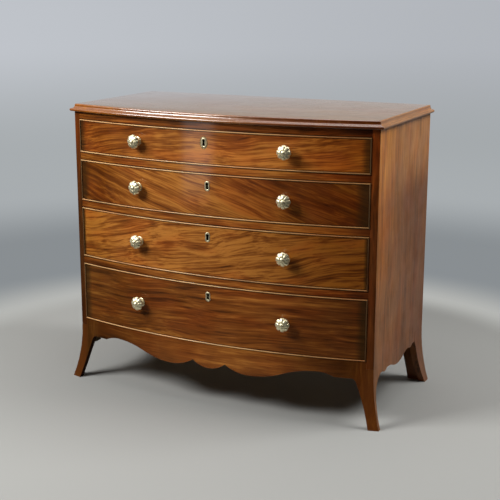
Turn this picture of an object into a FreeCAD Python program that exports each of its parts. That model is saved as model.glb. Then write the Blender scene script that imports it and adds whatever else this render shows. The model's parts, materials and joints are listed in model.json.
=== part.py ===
"""Bow front chest of four graduated drawers on swept bracket feet.

Millimetres. +Z is up, the bowed front faces -Y and the drawers slide out along -Y.
The model is drawn with y = 0 at the two front corners of the carcass, and moved at the end
so that the origin is under the middle of the whole chest, on the floor.
"""
import FreeCAD, Part
import math
import os

Vector = FreeCAD.Vector

# ---------------------------------------------------------------- driving dimensions
# Carcass
carcass_width = 960.0            # over the two sides
carcass_depth = 440.0            # front corner to back
bow_rise = 64.0                  # how far the front bulges past its two corners
base_height = 169.0              # floor to the underside of the carcass
side_thickness = 20.0
stile_depth = 10.0               # facing glued on the front edge of each side
rail_thickness = 22.0
rail_back = 45.0                 # the rails' straight back edge, behind the front corners
housing_depth = 8.0              # how far rails and runners are let into the sides
back_thickness = 10.0
back_rebate = 10.0               # how far the back is let into each side
back_board_count = 5
back_board_gap = 0.4
runner_width = 30.0
dust_board_thickness = 7.0
dust_board_tongue = 6.0

# Top
top_thickness = 22.0
top_overhang = 12.0              # from the carcass to the nose of the moulding
nose_height = 9.0                # half round at the bottom of the edge
cavetto_run = 8.0                # hollow above the nose, measured inwards
quirk_height = 4.5               # small upright step under the top's sharp edge
hollow_run_share = 0.3           # a point of the hollow, as shares of its run
hollow_drop_share = 0.72         # and of its height
nose_flats = 5

# Drawers, from the top down
top_drawer_height = 97.0
second_drawer_height = 122.0
third_drawer_height = 150.0
bottom_drawer_height = 176.0
drawer_gap = 0.8                 # over and under each front
drawer_side_gap = 1.0            # at each end of a front
front_thickness = 22.0
drawer_side_thickness = 9.0
drawer_back_thickness = 9.0
drawer_bottom_thickness = 7.0
bottom_lift = 10.0               # drawer sides' lower edge to the bottom board
bottom_tongue = 4.5              # bottom board into the sides
bottom_front_tongue = 6.0        # bottom board into the front
runner_clearance = 0.3           # under the drawer sides
side_drop = 5.0                  # front's top edge down to the sides' top edge
drawer_back_drop = 6.0           # sides' top edge down to the back's top edge
drawer_back_clearance = 12.0     # behind a closed drawer
dovetail_lap = 7.0               # wood left in front of the tails
tail_pitch = 42.0                # about one tail in this height
tail_margin = 2.0                # wood above the top tail and below the bottom one
tail_share = 0.72                # of the pitch, at the wide end of a tail
dovetail_slope = 6.0             # 1 in 6
stop_width = 50.0
stop_depth = 25.0
stop_height = 5.0
stop_offset = 205.0              # from the middle to each stop
stop_clearance = 0.3

# Cockbeads
bead_width = 3.0
bead_proud = 2.5
bead_depth = 6.0                 # rebate in the front for the strips at its ends
bead_flats = 2                   # the rounded edge is worked in this many flats

# Knobs
knob_offset = 232.0              # from the middle to each knob
knob_lift = 3.0                  # above the middle of the front
knob_radius = 20.5
knob_reach = 32.0                # front of the drawer to the tip of the boss
knob_petals = 8
petal_scallop = 2.2              # how far the rim dips in between two petals
petal_groove = 1.6               # how far the head dips down between two petals
rim_height = 19.5                # front of the drawer to the knob's widest part
crown_radius = 19.0              # where the petals turn in over the top
crown_height = 22.0
shoulder_radius = 12.7
shoulder_height = 26.5           # to the petals' inner ends
rose_radius = 13.0
rose_thickness = 1.6
neck_radius = 5.5
neck_height = 9.0
boss_radius = 6.5
boss_sink = 1.0                  # the boss's foot below the petals' inner ends
boss_tip_radius = 2.6
post_radius = 3.0
post_length = 15.0               # into the drawer front
post_clearance = 0.2
rod_sides = 8                    # posts and pins have this many flats

# Locks and keyholes
keyhole_drop = 35.0              # front's top edge to the middle of the keyhole
top_keyhole_offset = -9.5        # the top drawer's lock sits left of the middle
keyhole_height = 16.0
keyhole_head_radius = 3.3
keyhole_foot_width = 5.6
keyhole_waist_width = 3.8
keyhole_flats = 7                # round its head
escutcheon_width = 16.0
escutcheon_height = 28.0
escutcheon_waist = 14.6
escutcheon_proud = 0.8
escutcheon_depth = 2.2
escutcheon_flats = 8             # round each end
keyplate_width = 25.0
keyplate_height = 36.0
keyplate_thickness = 0.8
keyplate_corners = 20
lock_width = 58.0
lock_height = 52.0
lock_depth = 9.0
lock_wall = 1.5
bolt_width = 26.0
bolt_height = 18.0
bolt_thickness = 4.0
bolt_clearance = 0.2
bolt_travel = 7.0
bolt_notch_width = 8.7           # where the key catches the bolt
bolt_notch_height = 5.4
mortise_clearance = 0.6
drill_pin_radius = 1.6

# Aprons
apron_thickness = 20.0
front_lobe_drop = 55.0           # below the underside of the carcass
front_centre_drop = 51.0
front_cusp_drop = 32.0
front_arch_drop = 18.0
front_end_drop = 30.0
front_cusp_offset = 52.0         # from the middle
front_lobe_offset = 128.0
front_arch_inset = 92.0          # arch peak to the foot's joint
front_end_inset = 44.0           # outer cusp to the foot's joint
side_lobe_drop = 47.0
side_cusp_drop = 29.5
side_pendant_drop = 35.0
side_end_drop = 28.0
side_pendant_width = 37.0
side_shoulder = 19.5             # level run between small pendant and foot

# Feet
foot_joint_inset = 62.0          # apron joint to the carcass side, seen from the front
foot_flare = 26.0                # how far the feet sweep out at the floor
flare_drop = 4.0                 # underside of the carcass down to where the sweep begins
flare_flats = 6                  # the sweep is worked in this many flats outside
inner_flats = 3                  # and inside
front_knee_inset = 46.0
front_knee_drop = 41.0           # below the underside of the carcass
front_toe_inset = 3.0
side_joint_depth = 60.0          # front foot to side apron joint
side_knee_depth = 14.5
side_knee_drop = 69.0
side_toe_depth = -5.0
rear_joint_inset = 74.0          # side apron joint to the back
rear_knee_inset = 57.5
rear_knee_drop = 69.0
rear_toe_inset = 31.0
back_bracket_inset = 68.0        # its inner top corner to the carcass side
back_bracket_toe_inset = 33.0
edge_bow = 2.0                   # how hollow the feet's inner edges are
block_size = 22.0                # glue blocks behind the corners of the feet
block_length = 57.0              # of those blocks, down from the carcass
strip_length = 60.0              # glue blocks behind the aprons
strip_height = 16.0

# Working
overrun = 1.0                    # what is cut away reaches this far past the wood

# ---------------------------------------------------------------- worked-out values
half_width = carcass_width / 2
opening_half = half_width - side_thickness
bow_radius = (half_width ** 2 + bow_rise ** 2) / (2 * bow_rise)
bow_centre = bow_radius - bow_rise
back_inside = carcass_depth - back_thickness
flare_start = base_height - flare_drop
flare_radius = (flare_start ** 2 + foot_flare ** 2) / (2 * foot_flare)
front_half = opening_half - drawer_side_gap
drawer_back = back_inside - drawer_back_clearance
far = 2 * (carcass_width + carcass_depth)

# ---------------------------------------------------------------- geometry helpers


def bow_y(x, offset=0.0):
    """The y of the bowed front at x, or of a surface that far in front of it."""
    return bow_centre - math.sqrt((bow_radius + offset) ** 2 - x ** 2)


def bow_angle(x):
    """The angle from the middle, about the bow's axis, to the front at x."""
    return math.degrees(math.asin(x / bow_radius))


def box(x0, x1, y0, y1, z0, z1):
    return Part.makeBox(x1 - x0, y1 - y0, z1 - z0, Vector(x0, y0, z0))


def plan_plane(a, b):
    return Vector(a, b, 0)


def front_plane(a, b):
    return Vector(a, 0, b)


def side_plane(a, b):
    return Vector(0, a, b)


def radial_plane(a, b):
    """a is measured outwards from the bowed front, b upwards."""
    return Vector(0, -bow_rise - a, b)


def ring_points(radius, count):
    """Evenly spaced points round the origin, as pairs."""
    points = []
    for index in range(count):
        turn = 2 * math.pi * index / count
        points.append((radius * math.cos(turn), radius * math.sin(turn)))
    return points


def prism(radius, sides, z0, z1):
    """An upright bar with flat sides, on the z axis."""
    corners = [plan_plane(a, b) for a, b in ring_points(radius, sides)]
    return raised(Part.Face(Part.makePolygon(corners + corners[:1])), z0, z1)


class Outline:
    """A flat outline of lines and arcs, walked point by point and then filled."""

    def __init__(self, plane, start):
        self.plane = plane
        self.start = start
        self.here = start
        self.edges = []

    def line(self, *points):
        for point in points:
            self.edges.append(Part.makeLine(self.plane(*self.here), self.plane(*point)))
            self.here = point
        return self

    def arc(self, through, end):
        curve = Part.Arc(self.plane(*self.here), self.plane(*through), self.plane(*end))
        self.edges.append(curve.toShape())
        self.here = end
        return self

    def flats(self, through, end, count=3):
        """The arc to end through a point, worked as a few flats."""
        curve = Part.Arc(self.plane(*self.here), self.plane(*through), self.plane(*end))
        points = curve.toShape().discretize(count + 1)
        for corner in points[1:-1]:
            self.edges.append(Part.makeLine(self.edge_end(), corner))
        self.edges.append(Part.makeLine(self.edge_end(), self.plane(*end)))
        self.here = end
        return self

    def edge_end(self):
        """Where the last edge stopped, as a point in space."""
        if not self.edges:
            return self.plane(*self.start)
        return self.edges[-1].Vertexes[-1].Point

    def sag(self, end, depth):
        """An arc to end that leaves the straight line by depth, to the left of its way."""
        run = end[0] - self.here[0]
        rise = end[1] - self.here[1]
        length = math.hypot(run, rise)
        middle_a = (self.here[0] + end[0]) / 2 - rise / length * depth
        middle_b = (self.here[1] + end[1]) / 2 + run / length * depth
        return self.arc((middle_a, middle_b), end)

    def ogee(self, end):
        """Two equal arcs that leave and arrive level."""
        run = (end[0] - self.here[0]) / 2
        rise = (end[1] - self.here[1]) / 2
        radius = (run ** 2 + rise ** 2) / (2 * abs(rise))
        turn = math.asin(abs(run) / radius) / 2
        across = math.copysign(radius * math.sin(turn), run)
        up = math.copysign(radius * (1 - math.cos(turn)), rise)
        begin = self.here
        middle = (begin[0] + run, begin[1] + rise)
        self.arc((begin[0] + across, begin[1] + up), middle)
        return self.arc((end[0] - across, end[1] - up), end)

    def face(self):
        if self.here != self.start:
            self.line(self.start)
        return Part.Face(Part.Wire(self.edges))


def raised(face, z0, z1):
    """A plan face made into a solid from z0 to z1."""
    solid = face.extrude(Vector(0, 0, z1 - z0))
    solid.translate(Vector(0, 0, z0))
    return solid


def through_y(face, y0, y1):
    solid = face.extrude(Vector(0, y1 - y0, 0))
    solid.translate(Vector(0, y0, 0))
    return solid


def through_x(face, x0, x1):
    solid = face.extrude(Vector(x1 - x0, 0, 0))
    solid.translate(Vector(x0, 0, 0))
    return solid


def swept_round_bow(face, x0, x1):
    """A face of the radial plane, turned about the bow's axis from x0 to x1."""
    axis_point = Vector(0, bow_centre, 0)
    up = Vector(0, 0, 1)
    section = face.copy()
    section.rotate(axis_point, up, bow_angle(x0))
    return section.revolve(axis_point, up, bow_angle(x1) - bow_angle(x0))


def bow_slab(x0, x1, z0, z1, front, back):
    """A piece that follows the bow; front and back are offsets outwards from it."""
    middle = (x0 + x1) / 2
    plan = Outline(plan_plane, (x0, bow_y(x0, front)))
    plan.arc((middle, bow_y(middle, front)), (x1, bow_y(x1, front)))
    plan.line((x1, bow_y(x1, back)))
    plan.arc((middle, bow_y(middle, back)), (x0, bow_y(x0, back)))
    return raised(plan.face(), z0, z1)


def bow_to_back(x0, x1, y_back, z0, z1, front=0.0):
    """A board with its front edge on the bow and a straight back edge."""
    middle = (x0 + x1) / 2
    plan = Outline(plan_plane, (x0, bow_y(x0, front)))
    plan.arc((middle, bow_y(middle, front)), (x1, bow_y(x1, front)))
    plan.line((x1, y_back), (x0, y_back))
    return raised(plan.face(), z0, z1)


def mirrored(shape):
    return shape.mirror(Vector(0, 0, 0), Vector(1, 0, 0))


def pair(shape):
    """A piece on the right and its mirror image on the left."""
    return [mirrored(shape), shape]


def solids_of(pieces):
    found = []
    for piece in pieces:
        found.extend(piece.Solids)
    return found


# ---------------------------------------------------------------- where the drawers are


class Drawer:
    """The heights and places that one drawer's pieces share."""

    def __init__(self, name, height, floor, keyhole_x):
        self.name = name
        self.floor = floor
        self.bottom = floor + drawer_gap
        self.top = self.bottom + height
        self.ceiling = self.top + drawer_gap
        self.keyhole_x = keyhole_x
        self.keyhole_z = self.top - keyhole_drop
        self.side_bottom = floor + runner_clearance
        self.side_top = self.top - side_drop
        self.board_bottom = self.side_bottom + bottom_lift
        self.board_top = self.board_bottom + drawer_bottom_thickness
        self.back_top = self.side_top - drawer_back_drop
        self.knob_z = self.bottom + height / 2 + knob_lift
        self.lock_back = bow_y(keyhole_x, -front_thickness)
        self.lock_front = self.lock_back - lock_depth


def stack_drawers():
    """Drawers from the bottom up, each on a rail; returned from the top down."""
    plan = [
        ("bottom_drawer", bottom_drawer_height, 0.0),
        ("third_drawer", third_drawer_height, 0.0),
        ("second_drawer", second_drawer_height, 0.0),
        ("top_drawer", top_drawer_height, top_keyhole_offset),
    ]
    stack = []
    floor = base_height + rail_thickness
    for name, height, keyhole_x in plan:
        drawer = Drawer(name, height, floor, keyhole_x)
        stack.append(drawer)
        floor = drawer.ceiling + rail_thickness
    stack.reverse()
    return stack


drawers = stack_drawers()
top_drawer = drawers[0]
carcass_top = top_drawer.ceiling + rail_thickness

# ---------------------------------------------------------------- top


def top_board():
    """The board with a quirk, a hollow and a half-round nose on its front and side edges."""
    z0 = carcass_top
    z1 = carcass_top + top_thickness
    board = bow_to_back(-half_width - top_overhang, half_width + top_overhang,
                        carcass_depth, z0, z1, top_overhang)
    nose = nose_height / 2
    run = nose + cavetto_run
    step = z1 - quirk_height
    hollow_height = step - (z0 + nose_height)

    def waste(plane, edge):
        """What the moulding plane takes off, with edge as the distance out to the nose."""
        outline = Outline(plane, (edge - run, z1 + overrun))
        outline.line((edge - run, step))
        outline.flats((edge - run + cavetto_run * hollow_run_share,
                       step - hollow_height * hollow_drop_share),
                      (edge - nose, z0 + nose_height))
        outline.flats((edge, z0 + nose), (edge - nose, z0), nose_flats)
        outline.line((edge - nose, z0 - overrun), (edge + nose, z0 - overrun),
                     (edge + nose, z1 + overrun))
        return outline.face()

    board = board.cut(swept_round_bow(waste(radial_plane, top_overhang),
                                      -half_width - 2 * top_overhang,
                                      half_width + 2 * top_overhang))
    side_waste = through_y(waste(front_plane, half_width + top_overhang),
                           -bow_rise, carcass_depth + overrun)
    for piece in pair(side_waste):
        board = board.cut(piece)
    return board


# ---------------------------------------------------------------- carcass


def rail_levels():
    """The underside of every rail, from the bottom rail to the top rail."""
    levels = [base_height]
    for drawer in reversed(drawers):
        levels.append(drawer.ceiling)
    return levels


def side_board():
    """The right side: housings for rails and runners, and a rebate for the back."""
    board = box(opening_half, half_width, stile_depth, carcass_depth, base_height, carcass_top)
    for level in rail_levels():
        housing = box(opening_half, opening_half + housing_depth, stile_depth, back_inside,
                      level, level + rail_thickness)
        board = board.cut(housing)
    rebate = box(opening_half, opening_half + back_rebate, back_inside, carcass_depth,
                 base_height, carcass_top)
    return board.cut(rebate)


def stile():
    """The right facing, flush with the bow in front and with the side's face."""
    return bow_to_back(opening_half, half_width, stile_depth, base_height, carcass_top)


def rail(level):
    """A rail between the stiles, with a tongue at each end in the sides' housings."""
    z1 = level + rail_thickness
    body = bow_to_back(-opening_half, opening_half, rail_back, level, z1)
    tongue = box(opening_half, opening_half + housing_depth, stile_depth, rail_back, level, z1)
    for piece in pair(tongue):
        body = body.fuse(piece)
    return body.removeSplitter()


def dust_groove(level):
    """The groove round a drawer opening that the dust board fits."""
    middle = level + rail_thickness / 2
    return box(-opening_half + runner_width - dust_board_tongue,
               opening_half - runner_width + dust_board_tongue,
               rail_back - dust_board_tongue, back_inside,
               middle - dust_board_thickness / 2, middle + dust_board_thickness / 2)


def mortise_above(drawer):
    """The slot over a drawer that takes the raised lock bolt."""
    half = bolt_width / 2 + mortise_clearance
    middle_y = drawer.lock_back - lock_depth / 2
    thick = bolt_thickness / 2 + mortise_clearance
    depth = bolt_travel + mortise_clearance
    return box(drawer.keyhole_x - half, drawer.keyhole_x + half,
               middle_y - thick, middle_y + thick,
               drawer.ceiling, drawer.ceiling + depth)


def divider(drawer):
    """The rail over a drawer, grooved at the back for the dust board above that drawer."""
    piece = rail(drawer.ceiling).cut(mortise_above(drawer))
    return piece.cut(dust_groove(drawer.ceiling))


def top_rail():
    return rail(top_drawer.ceiling).cut(mortise_above(top_drawer))


def runners_and_kickers():
    """Side strips: three levels of runners, and the kickers under the top."""
    strips = []
    for drawer in drawers:
        level = drawer.ceiling
        strip = box(opening_half - runner_width, opening_half + housing_depth,
                    rail_back, back_inside, level, level + rail_thickness)
        if drawer is not top_drawer:
            strip = strip.cut(dust_groove(level))
        strips.extend(pair(strip))
    return strips


def bottom_board():
    return box(-opening_half - housing_depth, opening_half + housing_depth,
               rail_back, back_inside, base_height, base_height + rail_thickness)


def back_boards():
    """Upright boards side by side in the sides' rebates."""
    start = -opening_half - back_rebate
    pitch = -2 * start / back_board_count
    boards = []
    for index in range(back_board_count):
        x0 = start + index * pitch + (back_board_gap / 2 if index else 0)
        x1 = start + (index + 1) * pitch
        if index < back_board_count - 1:
            x1 -= back_board_gap / 2
        boards.append(box(x0, x1, back_inside, carcass_depth, base_height, carcass_top))
    return boards


def drawer_stops():
    """Small blocks on the rails that meet the back of each closed front."""
    stops = []
    for drawer in drawers:
        x0 = stop_offset - stop_width / 2
        x1 = stop_offset + stop_width / 2
        face = -front_thickness - stop_clearance
        stop = bow_to_back(x0, x1, bow_y(x1, face) + stop_depth,
                           drawer.floor, drawer.floor + stop_height, face)
        stops.extend(pair(stop))
    return stops


# ---------------------------------------------------------------- base


def front_apron():
    """The shaped board between the front feet, cut to follow the bow."""
    end = half_width - foot_joint_inset
    z = base_height

    def half_edge(outline, sign):
        """From the middle's cusp outwards for sign 1, or inwards to it for sign -1."""
        stations = [
            (front_cusp_offset, z - front_cusp_drop),
            (front_lobe_offset, z - front_lobe_drop),
            (end - front_arch_inset, z - front_arch_drop),
            (end - front_end_inset, z - front_end_drop),
            (end, z - front_end_drop),
        ]
        cusp, lobe, arch, drop, joint = [(sign * a, b) for a, b in stations]
        lobe_through = quarter_point(cusp, lobe)
        arch_through = quarter_point(drop, arch)
        if sign > 0:
            outline.arc(lobe_through, lobe).ogee(arch).arc(arch_through, drop).line(joint)
        else:
            outline.line(joint, drop).arc(arch_through, arch).ogee(lobe).arc(lobe_through, cusp)

    top = (end, z)
    outline = Outline(front_plane, (-end, z))
    half_edge(outline, -1)
    outline.arc((0, z - front_centre_drop), (front_cusp_offset, z - front_cusp_drop))
    half_edge(outline, 1)
    outline.line(top)
    blank = bow_slab(-end, end, 0, z, 0, -apron_thickness)
    return blank.common(through_y(outline.face(), -2 * bow_rise, bow_rise))


def quarter_point(begin, level_end):
    """A point on the arc from begin that arrives level at level_end."""
    run = level_end[0] - begin[0]
    rise = level_end[1] - begin[1]
    radius = (run ** 2 + rise ** 2) / (2 * abs(rise))
    turn = math.asin(abs(run) / radius) / 2
    across = math.copysign(radius * math.sin(turn), run)
    up = math.copysign(radius * (1 - math.cos(turn)), rise)
    return level_end[0] - across, level_end[1] - up


def side_apron():
    """The right shaped board between the feet: a wide lobe with a small pendant each side."""
    y0 = side_joint_depth
    y1 = carcass_depth - rear_joint_inset
    middle = (y0 + y1) / 2
    z = base_height
    end_z = z - side_end_drop
    cusp_z = z - side_cusp_drop
    outline = Outline(side_plane, (y0, z))
    outline.line((y0, end_z), (y0 + side_shoulder, end_z))
    outline.line((y0 + side_shoulder, cusp_z))
    outline.arc((y0 + side_shoulder + side_pendant_width / 2, z - side_pendant_drop),
                (y0 + side_shoulder + side_pendant_width, cusp_z))
    outline.ogee((middle, z - side_lobe_drop))
    outline.ogee((y1 - side_shoulder - side_pendant_width, cusp_z))
    outline.arc((y1 - side_shoulder - side_pendant_width / 2, z - side_pendant_drop),
                (y1 - side_shoulder, cusp_z))
    outline.line((y1 - side_shoulder, end_z), (y1, end_z), (y1, z))
    return through_x(outline.face(), half_width - apron_thickness, half_width)


def sweep_profile(plane, edge):
    """A bracket's cross-section: upright at the top, sweeping out to the floor at edge."""
    half_turn = math.asin(flare_start / flare_radius) / 2
    out = flare_radius * (1 - math.cos(half_turn))
    down = flare_radius * math.sin(half_turn)
    inner = edge - apron_thickness
    profile = Outline(plane, (inner, base_height))
    profile.line((edge, base_height), (edge, flare_start))
    profile.flats((edge + out, flare_start - down), (edge + foot_flare, 0), flare_flats)
    profile.line((inner + foot_flare, 0))
    profile.flats((inner + out, flare_start - down), (inner, flare_start), inner_flats)
    return profile.face()


def mitre_halves():
    """Two prisms that meet on the upright plane through the foot's inner and outer corner."""
    outer = Vector(half_width, 0, 0)
    inner = Vector(half_width - apron_thickness,
                   bow_y(half_width - apron_thickness, -apron_thickness), 0)
    along = (outer - inner).normalize()
    across = Vector(along.y, -along.x, 0)
    reach = 4 * foot_joint_inset
    halves = []
    for side in (1, -1):
        begin = inner - along * reach
        end = outer + along * reach
        offset = across * (side * reach)
        corners = [begin, end, end + offset, begin + offset, begin]
        plan = Part.Face(Part.makePolygon(corners))
        halves.append(raised(plan, 0, base_height))
    return halves


def front_foot():
    """The right front foot: two swept brackets mitred at the corner."""
    front_side, side_side = mitre_halves()
    z = base_height
    outside = half_width + 2 * foot_flare
    joint_x = half_width - foot_joint_inset
    front_sweep = swept_round_bow(sweep_profile(radial_plane, 0.0), joint_x - foot_flare,
                                  outside + foot_flare)
    side_sweep = through_y(sweep_profile(front_plane, half_width), -2 * bow_rise,
                           carcass_depth)
    end_z = z - front_end_drop
    knee = (half_width - front_knee_inset, z - front_knee_drop)
    seen_from_front = Outline(front_plane, (joint_x, z))
    seen_from_front.line((outside, z), (outside, 0), (half_width - front_toe_inset, 0))
    seen_from_front.sag(knee, -edge_bow)
    seen_from_front.sag((knee[0] - (end_z - knee[1]), end_z), -edge_bow)
    seen_from_front.line((joint_x, end_z))
    front_bracket = front_sweep.common(front_side)
    front_bracket = front_bracket.common(through_y(seen_from_front.face(), -far, far))

    side_end_z = z - side_end_drop
    side_knee = (side_knee_depth, z - side_knee_drop)
    turn_in = (side_knee_depth + side_end_z - side_knee[1], side_end_z)
    seen_from_side = Outline(side_plane, (side_joint_depth, z))
    seen_from_side.line((-2 * bow_rise, z), (-2 * bow_rise, 0), (side_toe_depth, 0))
    seen_from_side.sag(side_knee, edge_bow)
    seen_from_side.sag(turn_in, 3 * edge_bow)
    seen_from_side.line((side_joint_depth, side_end_z))
    side_bracket = side_sweep.common(side_side)
    side_bracket = side_bracket.common(through_x(seen_from_side.face(), 0, far))
    return solids_of([front_bracket, side_bracket])


def rear_foot():
    """The right rear foot: a bracket that sweeps sideways and a flat one behind it."""
    z = base_height
    end_z = z - side_end_drop
    sweep = through_y(sweep_profile(front_plane, half_width), 0, carcass_depth)

    back = carcass_depth
    knee = (back - rear_knee_inset, z - rear_knee_drop)
    joint = back - rear_joint_inset
    seen_from_side = Outline(side_plane, (joint, z))
    seen_from_side.line((joint, end_z))
    seen_from_side.line((joint + edge_bow, end_z))
    seen_from_side.sag((knee[0], knee[1] + edge_bow), edge_bow)
    seen_from_side.sag((back - rear_toe_inset, 0), -edge_bow)
    seen_from_side.line((back, 0), (back, z))
    side_bracket = sweep.common(through_x(seen_from_side.face(), 0, far))

    inside_sweep = half_width - apron_thickness / 2
    flat = Outline(front_plane, (inside_sweep, z))
    flat.line((inside_sweep + foot_flare, 0), (half_width - back_bracket_toe_inset, 0))
    flat.sag((half_width - back_bracket_inset, end_z), -edge_bow)
    flat.line((half_width - back_bracket_inset, z))
    back_bracket = through_y(flat.face(), carcass_depth - apron_thickness, carcass_depth)
    back_bracket = back_bracket.cut(sweep)
    return solids_of([side_bracket, back_bracket])


def glue_blocks():
    """Corner blocks inside the feet and short strips behind the aprons."""
    inner_face = half_width - apron_thickness
    z = base_height
    front_y = bow_y(inner_face, -apron_thickness)
    front_block = bow_to_back(inner_face - block_size, inner_face, front_y + block_size,
                              z - block_length, z, -apron_thickness)
    rear_y = carcass_depth - apron_thickness
    rear_block = box(inner_face - block_size, inner_face, rear_y - block_size, rear_y,
                     z - block_length, z)
    middle_y = carcass_depth / 2
    side_strip = box(inner_face - block_size, inner_face,
                     middle_y - strip_length / 2, middle_y + strip_length / 2,
                     z - strip_height, z)
    blocks = pair(front_block) + pair(rear_block) + pair(side_strip)
    reach = half_width - foot_joint_inset - strip_length
    for x in (-reach / 2, 0.0, reach / 2):
        x0 = x - strip_length / 2
        x1 = x + strip_length / 2
        back = max(bow_y(x0, -apron_thickness), bow_y(x1, -apron_thickness)) + block_size
        blocks.append(bow_to_back(x0, x1, back, z - strip_height, z, -apron_thickness))
    return blocks


# ---------------------------------------------------------------- drawers


def bead_strip(z0, outside, inside):
    """A strip as thick as the front, with a rounded edge mitred from outside to inside."""
    nose = bead_width / 2
    shoulder = bead_proud - nose
    reach = front_half + bead_width
    inner = front_half - bead_width
    section = Outline(radial_plane, (-bead_depth, z0))
    section.line((shoulder, z0))
    section.flats((bead_proud, z0 + nose), (shoulder, z0 + bead_width), bead_flats)
    section.line((-bead_depth, z0 + bead_width))
    mitre = Outline(front_plane, (-front_half, outside))
    mitre.line((front_half, outside), (inner, inside), (-inner, inside))
    edge = swept_round_bow(section.face(), -reach, reach)
    edge = edge.common(through_y(mitre.face(), -far, far))
    behind = bow_slab(-front_half, front_half, z0, z0 + bead_width, -bead_depth, -front_thickness)
    return edge.fuse(behind).removeSplitter()


def bead_end(z0, z1):
    """The right upright strip, let into the end of the front."""
    inner = front_half - bead_width
    nose = bead_width / 2
    middle_x = front_half - nose
    shoulder_y = bow_y(middle_x, bead_proud - nose)
    plan = Outline(plan_plane, (inner, bow_y(inner, -bead_depth)))
    plan.line((inner, shoulder_y))
    plan.flats((middle_x, shoulder_y - nose), (front_half, shoulder_y), bead_flats)
    plan.line((front_half, bow_y(front_half, -bead_depth)))
    plan.arc((middle_x, bow_y(middle_x, -bead_depth)), (inner, bow_y(inner, -bead_depth)))
    mitre = Outline(front_plane, (front_half, z0))
    mitre.line((front_half, z1), (inner, z1 - bead_width), (inner, z0 + bead_width))
    return raised(plan.face(), z0, z1).common(through_y(mitre.face(), -far, far))


def tails(z0, z1, y_wide, y_narrow):
    """Dovetails in a drawer side's end, wide at y_wide and narrower at y_narrow."""
    count = max(2, round((z1 - z0) / tail_pitch))
    pitch = (z1 - z0 - 2 * tail_margin) / (count - 1 + tail_share)
    wide = pitch * tail_share / 2
    narrow = wide - abs(y_narrow - y_wide) / dovetail_slope
    made = []
    for index in range(count):
        z = z0 + tail_margin + wide + index * pitch
        tail = Outline(side_plane, (y_wide, z - wide))
        tail.line((y_wide, z + wide), (y_narrow, z + narrow), (y_narrow, z - narrow))
        made.append(through_x(tail.face(), opening_half / 2, opening_half + overrun))
    return made


def drawer_side(drawer, board):
    """The right side, with lapped tails in front and through tails behind."""
    x1 = front_half
    x0 = front_half - drawer_side_thickness
    tail_end = bow_y(x1, -dovetail_lap)
    shoulder = bow_y(x1, -front_thickness)
    z0 = drawer.side_bottom
    z1 = drawer.side_top
    side = box(x0, x1, tail_end, drawer_back, z0, z1)
    between = bow_slab(x0 - overrun, x1 + overrun, z0 - overrun, z1 + overrun,
                       0, -front_thickness)
    for tail in tails(drawer.bottom + bead_width, z1, tail_end - overrun, shoulder + overrun):
        between = between.cut(tail)
    side = side.cut(between)
    inside_back = drawer_back - drawer_back_thickness
    between = box(x0 - overrun, x1 + overrun, inside_back, drawer_back + overrun,
                  drawer.board_top, drawer.back_top)
    for tail in tails(drawer.board_top, drawer.back_top, drawer_back + overrun,
                      inside_back - overrun):
        between = between.cut(tail)
    return side.cut(between).cut(board)


def keyhole_face(height, head_radius, waist_width, foot_width):
    """A keyhole about the origin of the front plane: round head, waist and wider foot."""
    head_z = height / 2 - head_radius
    joint = math.sqrt(head_radius ** 2 - (waist_width / 2) ** 2)
    outline = Outline(front_plane, (-waist_width / 2, head_z - joint))
    outline.flats((0, height / 2), (waist_width / 2, head_z - joint), keyhole_flats)
    outline.line((foot_width / 2, -height / 2 + foot_width / 3))
    outline.flats((0, -height / 2), (-foot_width / 2, -height / 2 + foot_width / 3))
    return outline.face()


def escutcheon_face():
    """Two round ends and a slightly narrower waist."""
    radius = escutcheon_width / 2
    end_z = escutcheon_height / 2 - radius
    half_waist = escutcheon_waist / 2
    meet = end_z - math.sqrt(radius ** 2 - half_waist ** 2)
    outline = Outline(front_plane, (-half_waist, meet))
    outline.flats((0, escutcheon_height / 2), (half_waist, meet), escutcheon_flats)
    outline.line((half_waist, -meet))
    outline.flats((0, -escutcheon_height / 2), (-half_waist, -meet), escutcheon_flats)
    return outline.face()


def placed_in_front(face, drawer, y0, y1):
    """A face of the front plane, taken through the drawer front at its keyhole."""
    solid = through_y(face, y0, y1)
    solid.translate(Vector(drawer.keyhole_x, 0, drawer.keyhole_z))
    return solid


def keyhole_slot(drawer):
    face = keyhole_face(keyhole_height, keyhole_head_radius, keyhole_waist_width,
                        keyhole_foot_width)
    return placed_in_front(face, drawer, -2 * bow_rise, drawer.lock_front + lock_wall)


def escutcheon(drawer):
    """The keyhole's brass surround; the top drawer's stands on an oval plate."""
    surface = bow_y(drawer.keyhole_x)
    rim = placed_in_front(escutcheon_face(), drawer, surface - escutcheon_proud,
                          surface + escutcheon_depth)
    seats = [rim]
    if drawer is top_drawer:
        oval = []
        for x, z in ring_points(1.0, keyplate_corners):
            oval.append(front_plane(x * keyplate_width / 2, z * keyplate_height / 2))
        face = Part.Face(Part.makePolygon(oval + oval[:1]))
        plate = placed_in_front(face, drawer, surface - keyplate_thickness / 4,
                                surface + keyplate_thickness)
        seats.append(plate.cut(rim))
    slot = keyhole_slot(drawer)
    return [seat.cut(slot) for seat in seats], seats


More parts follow.
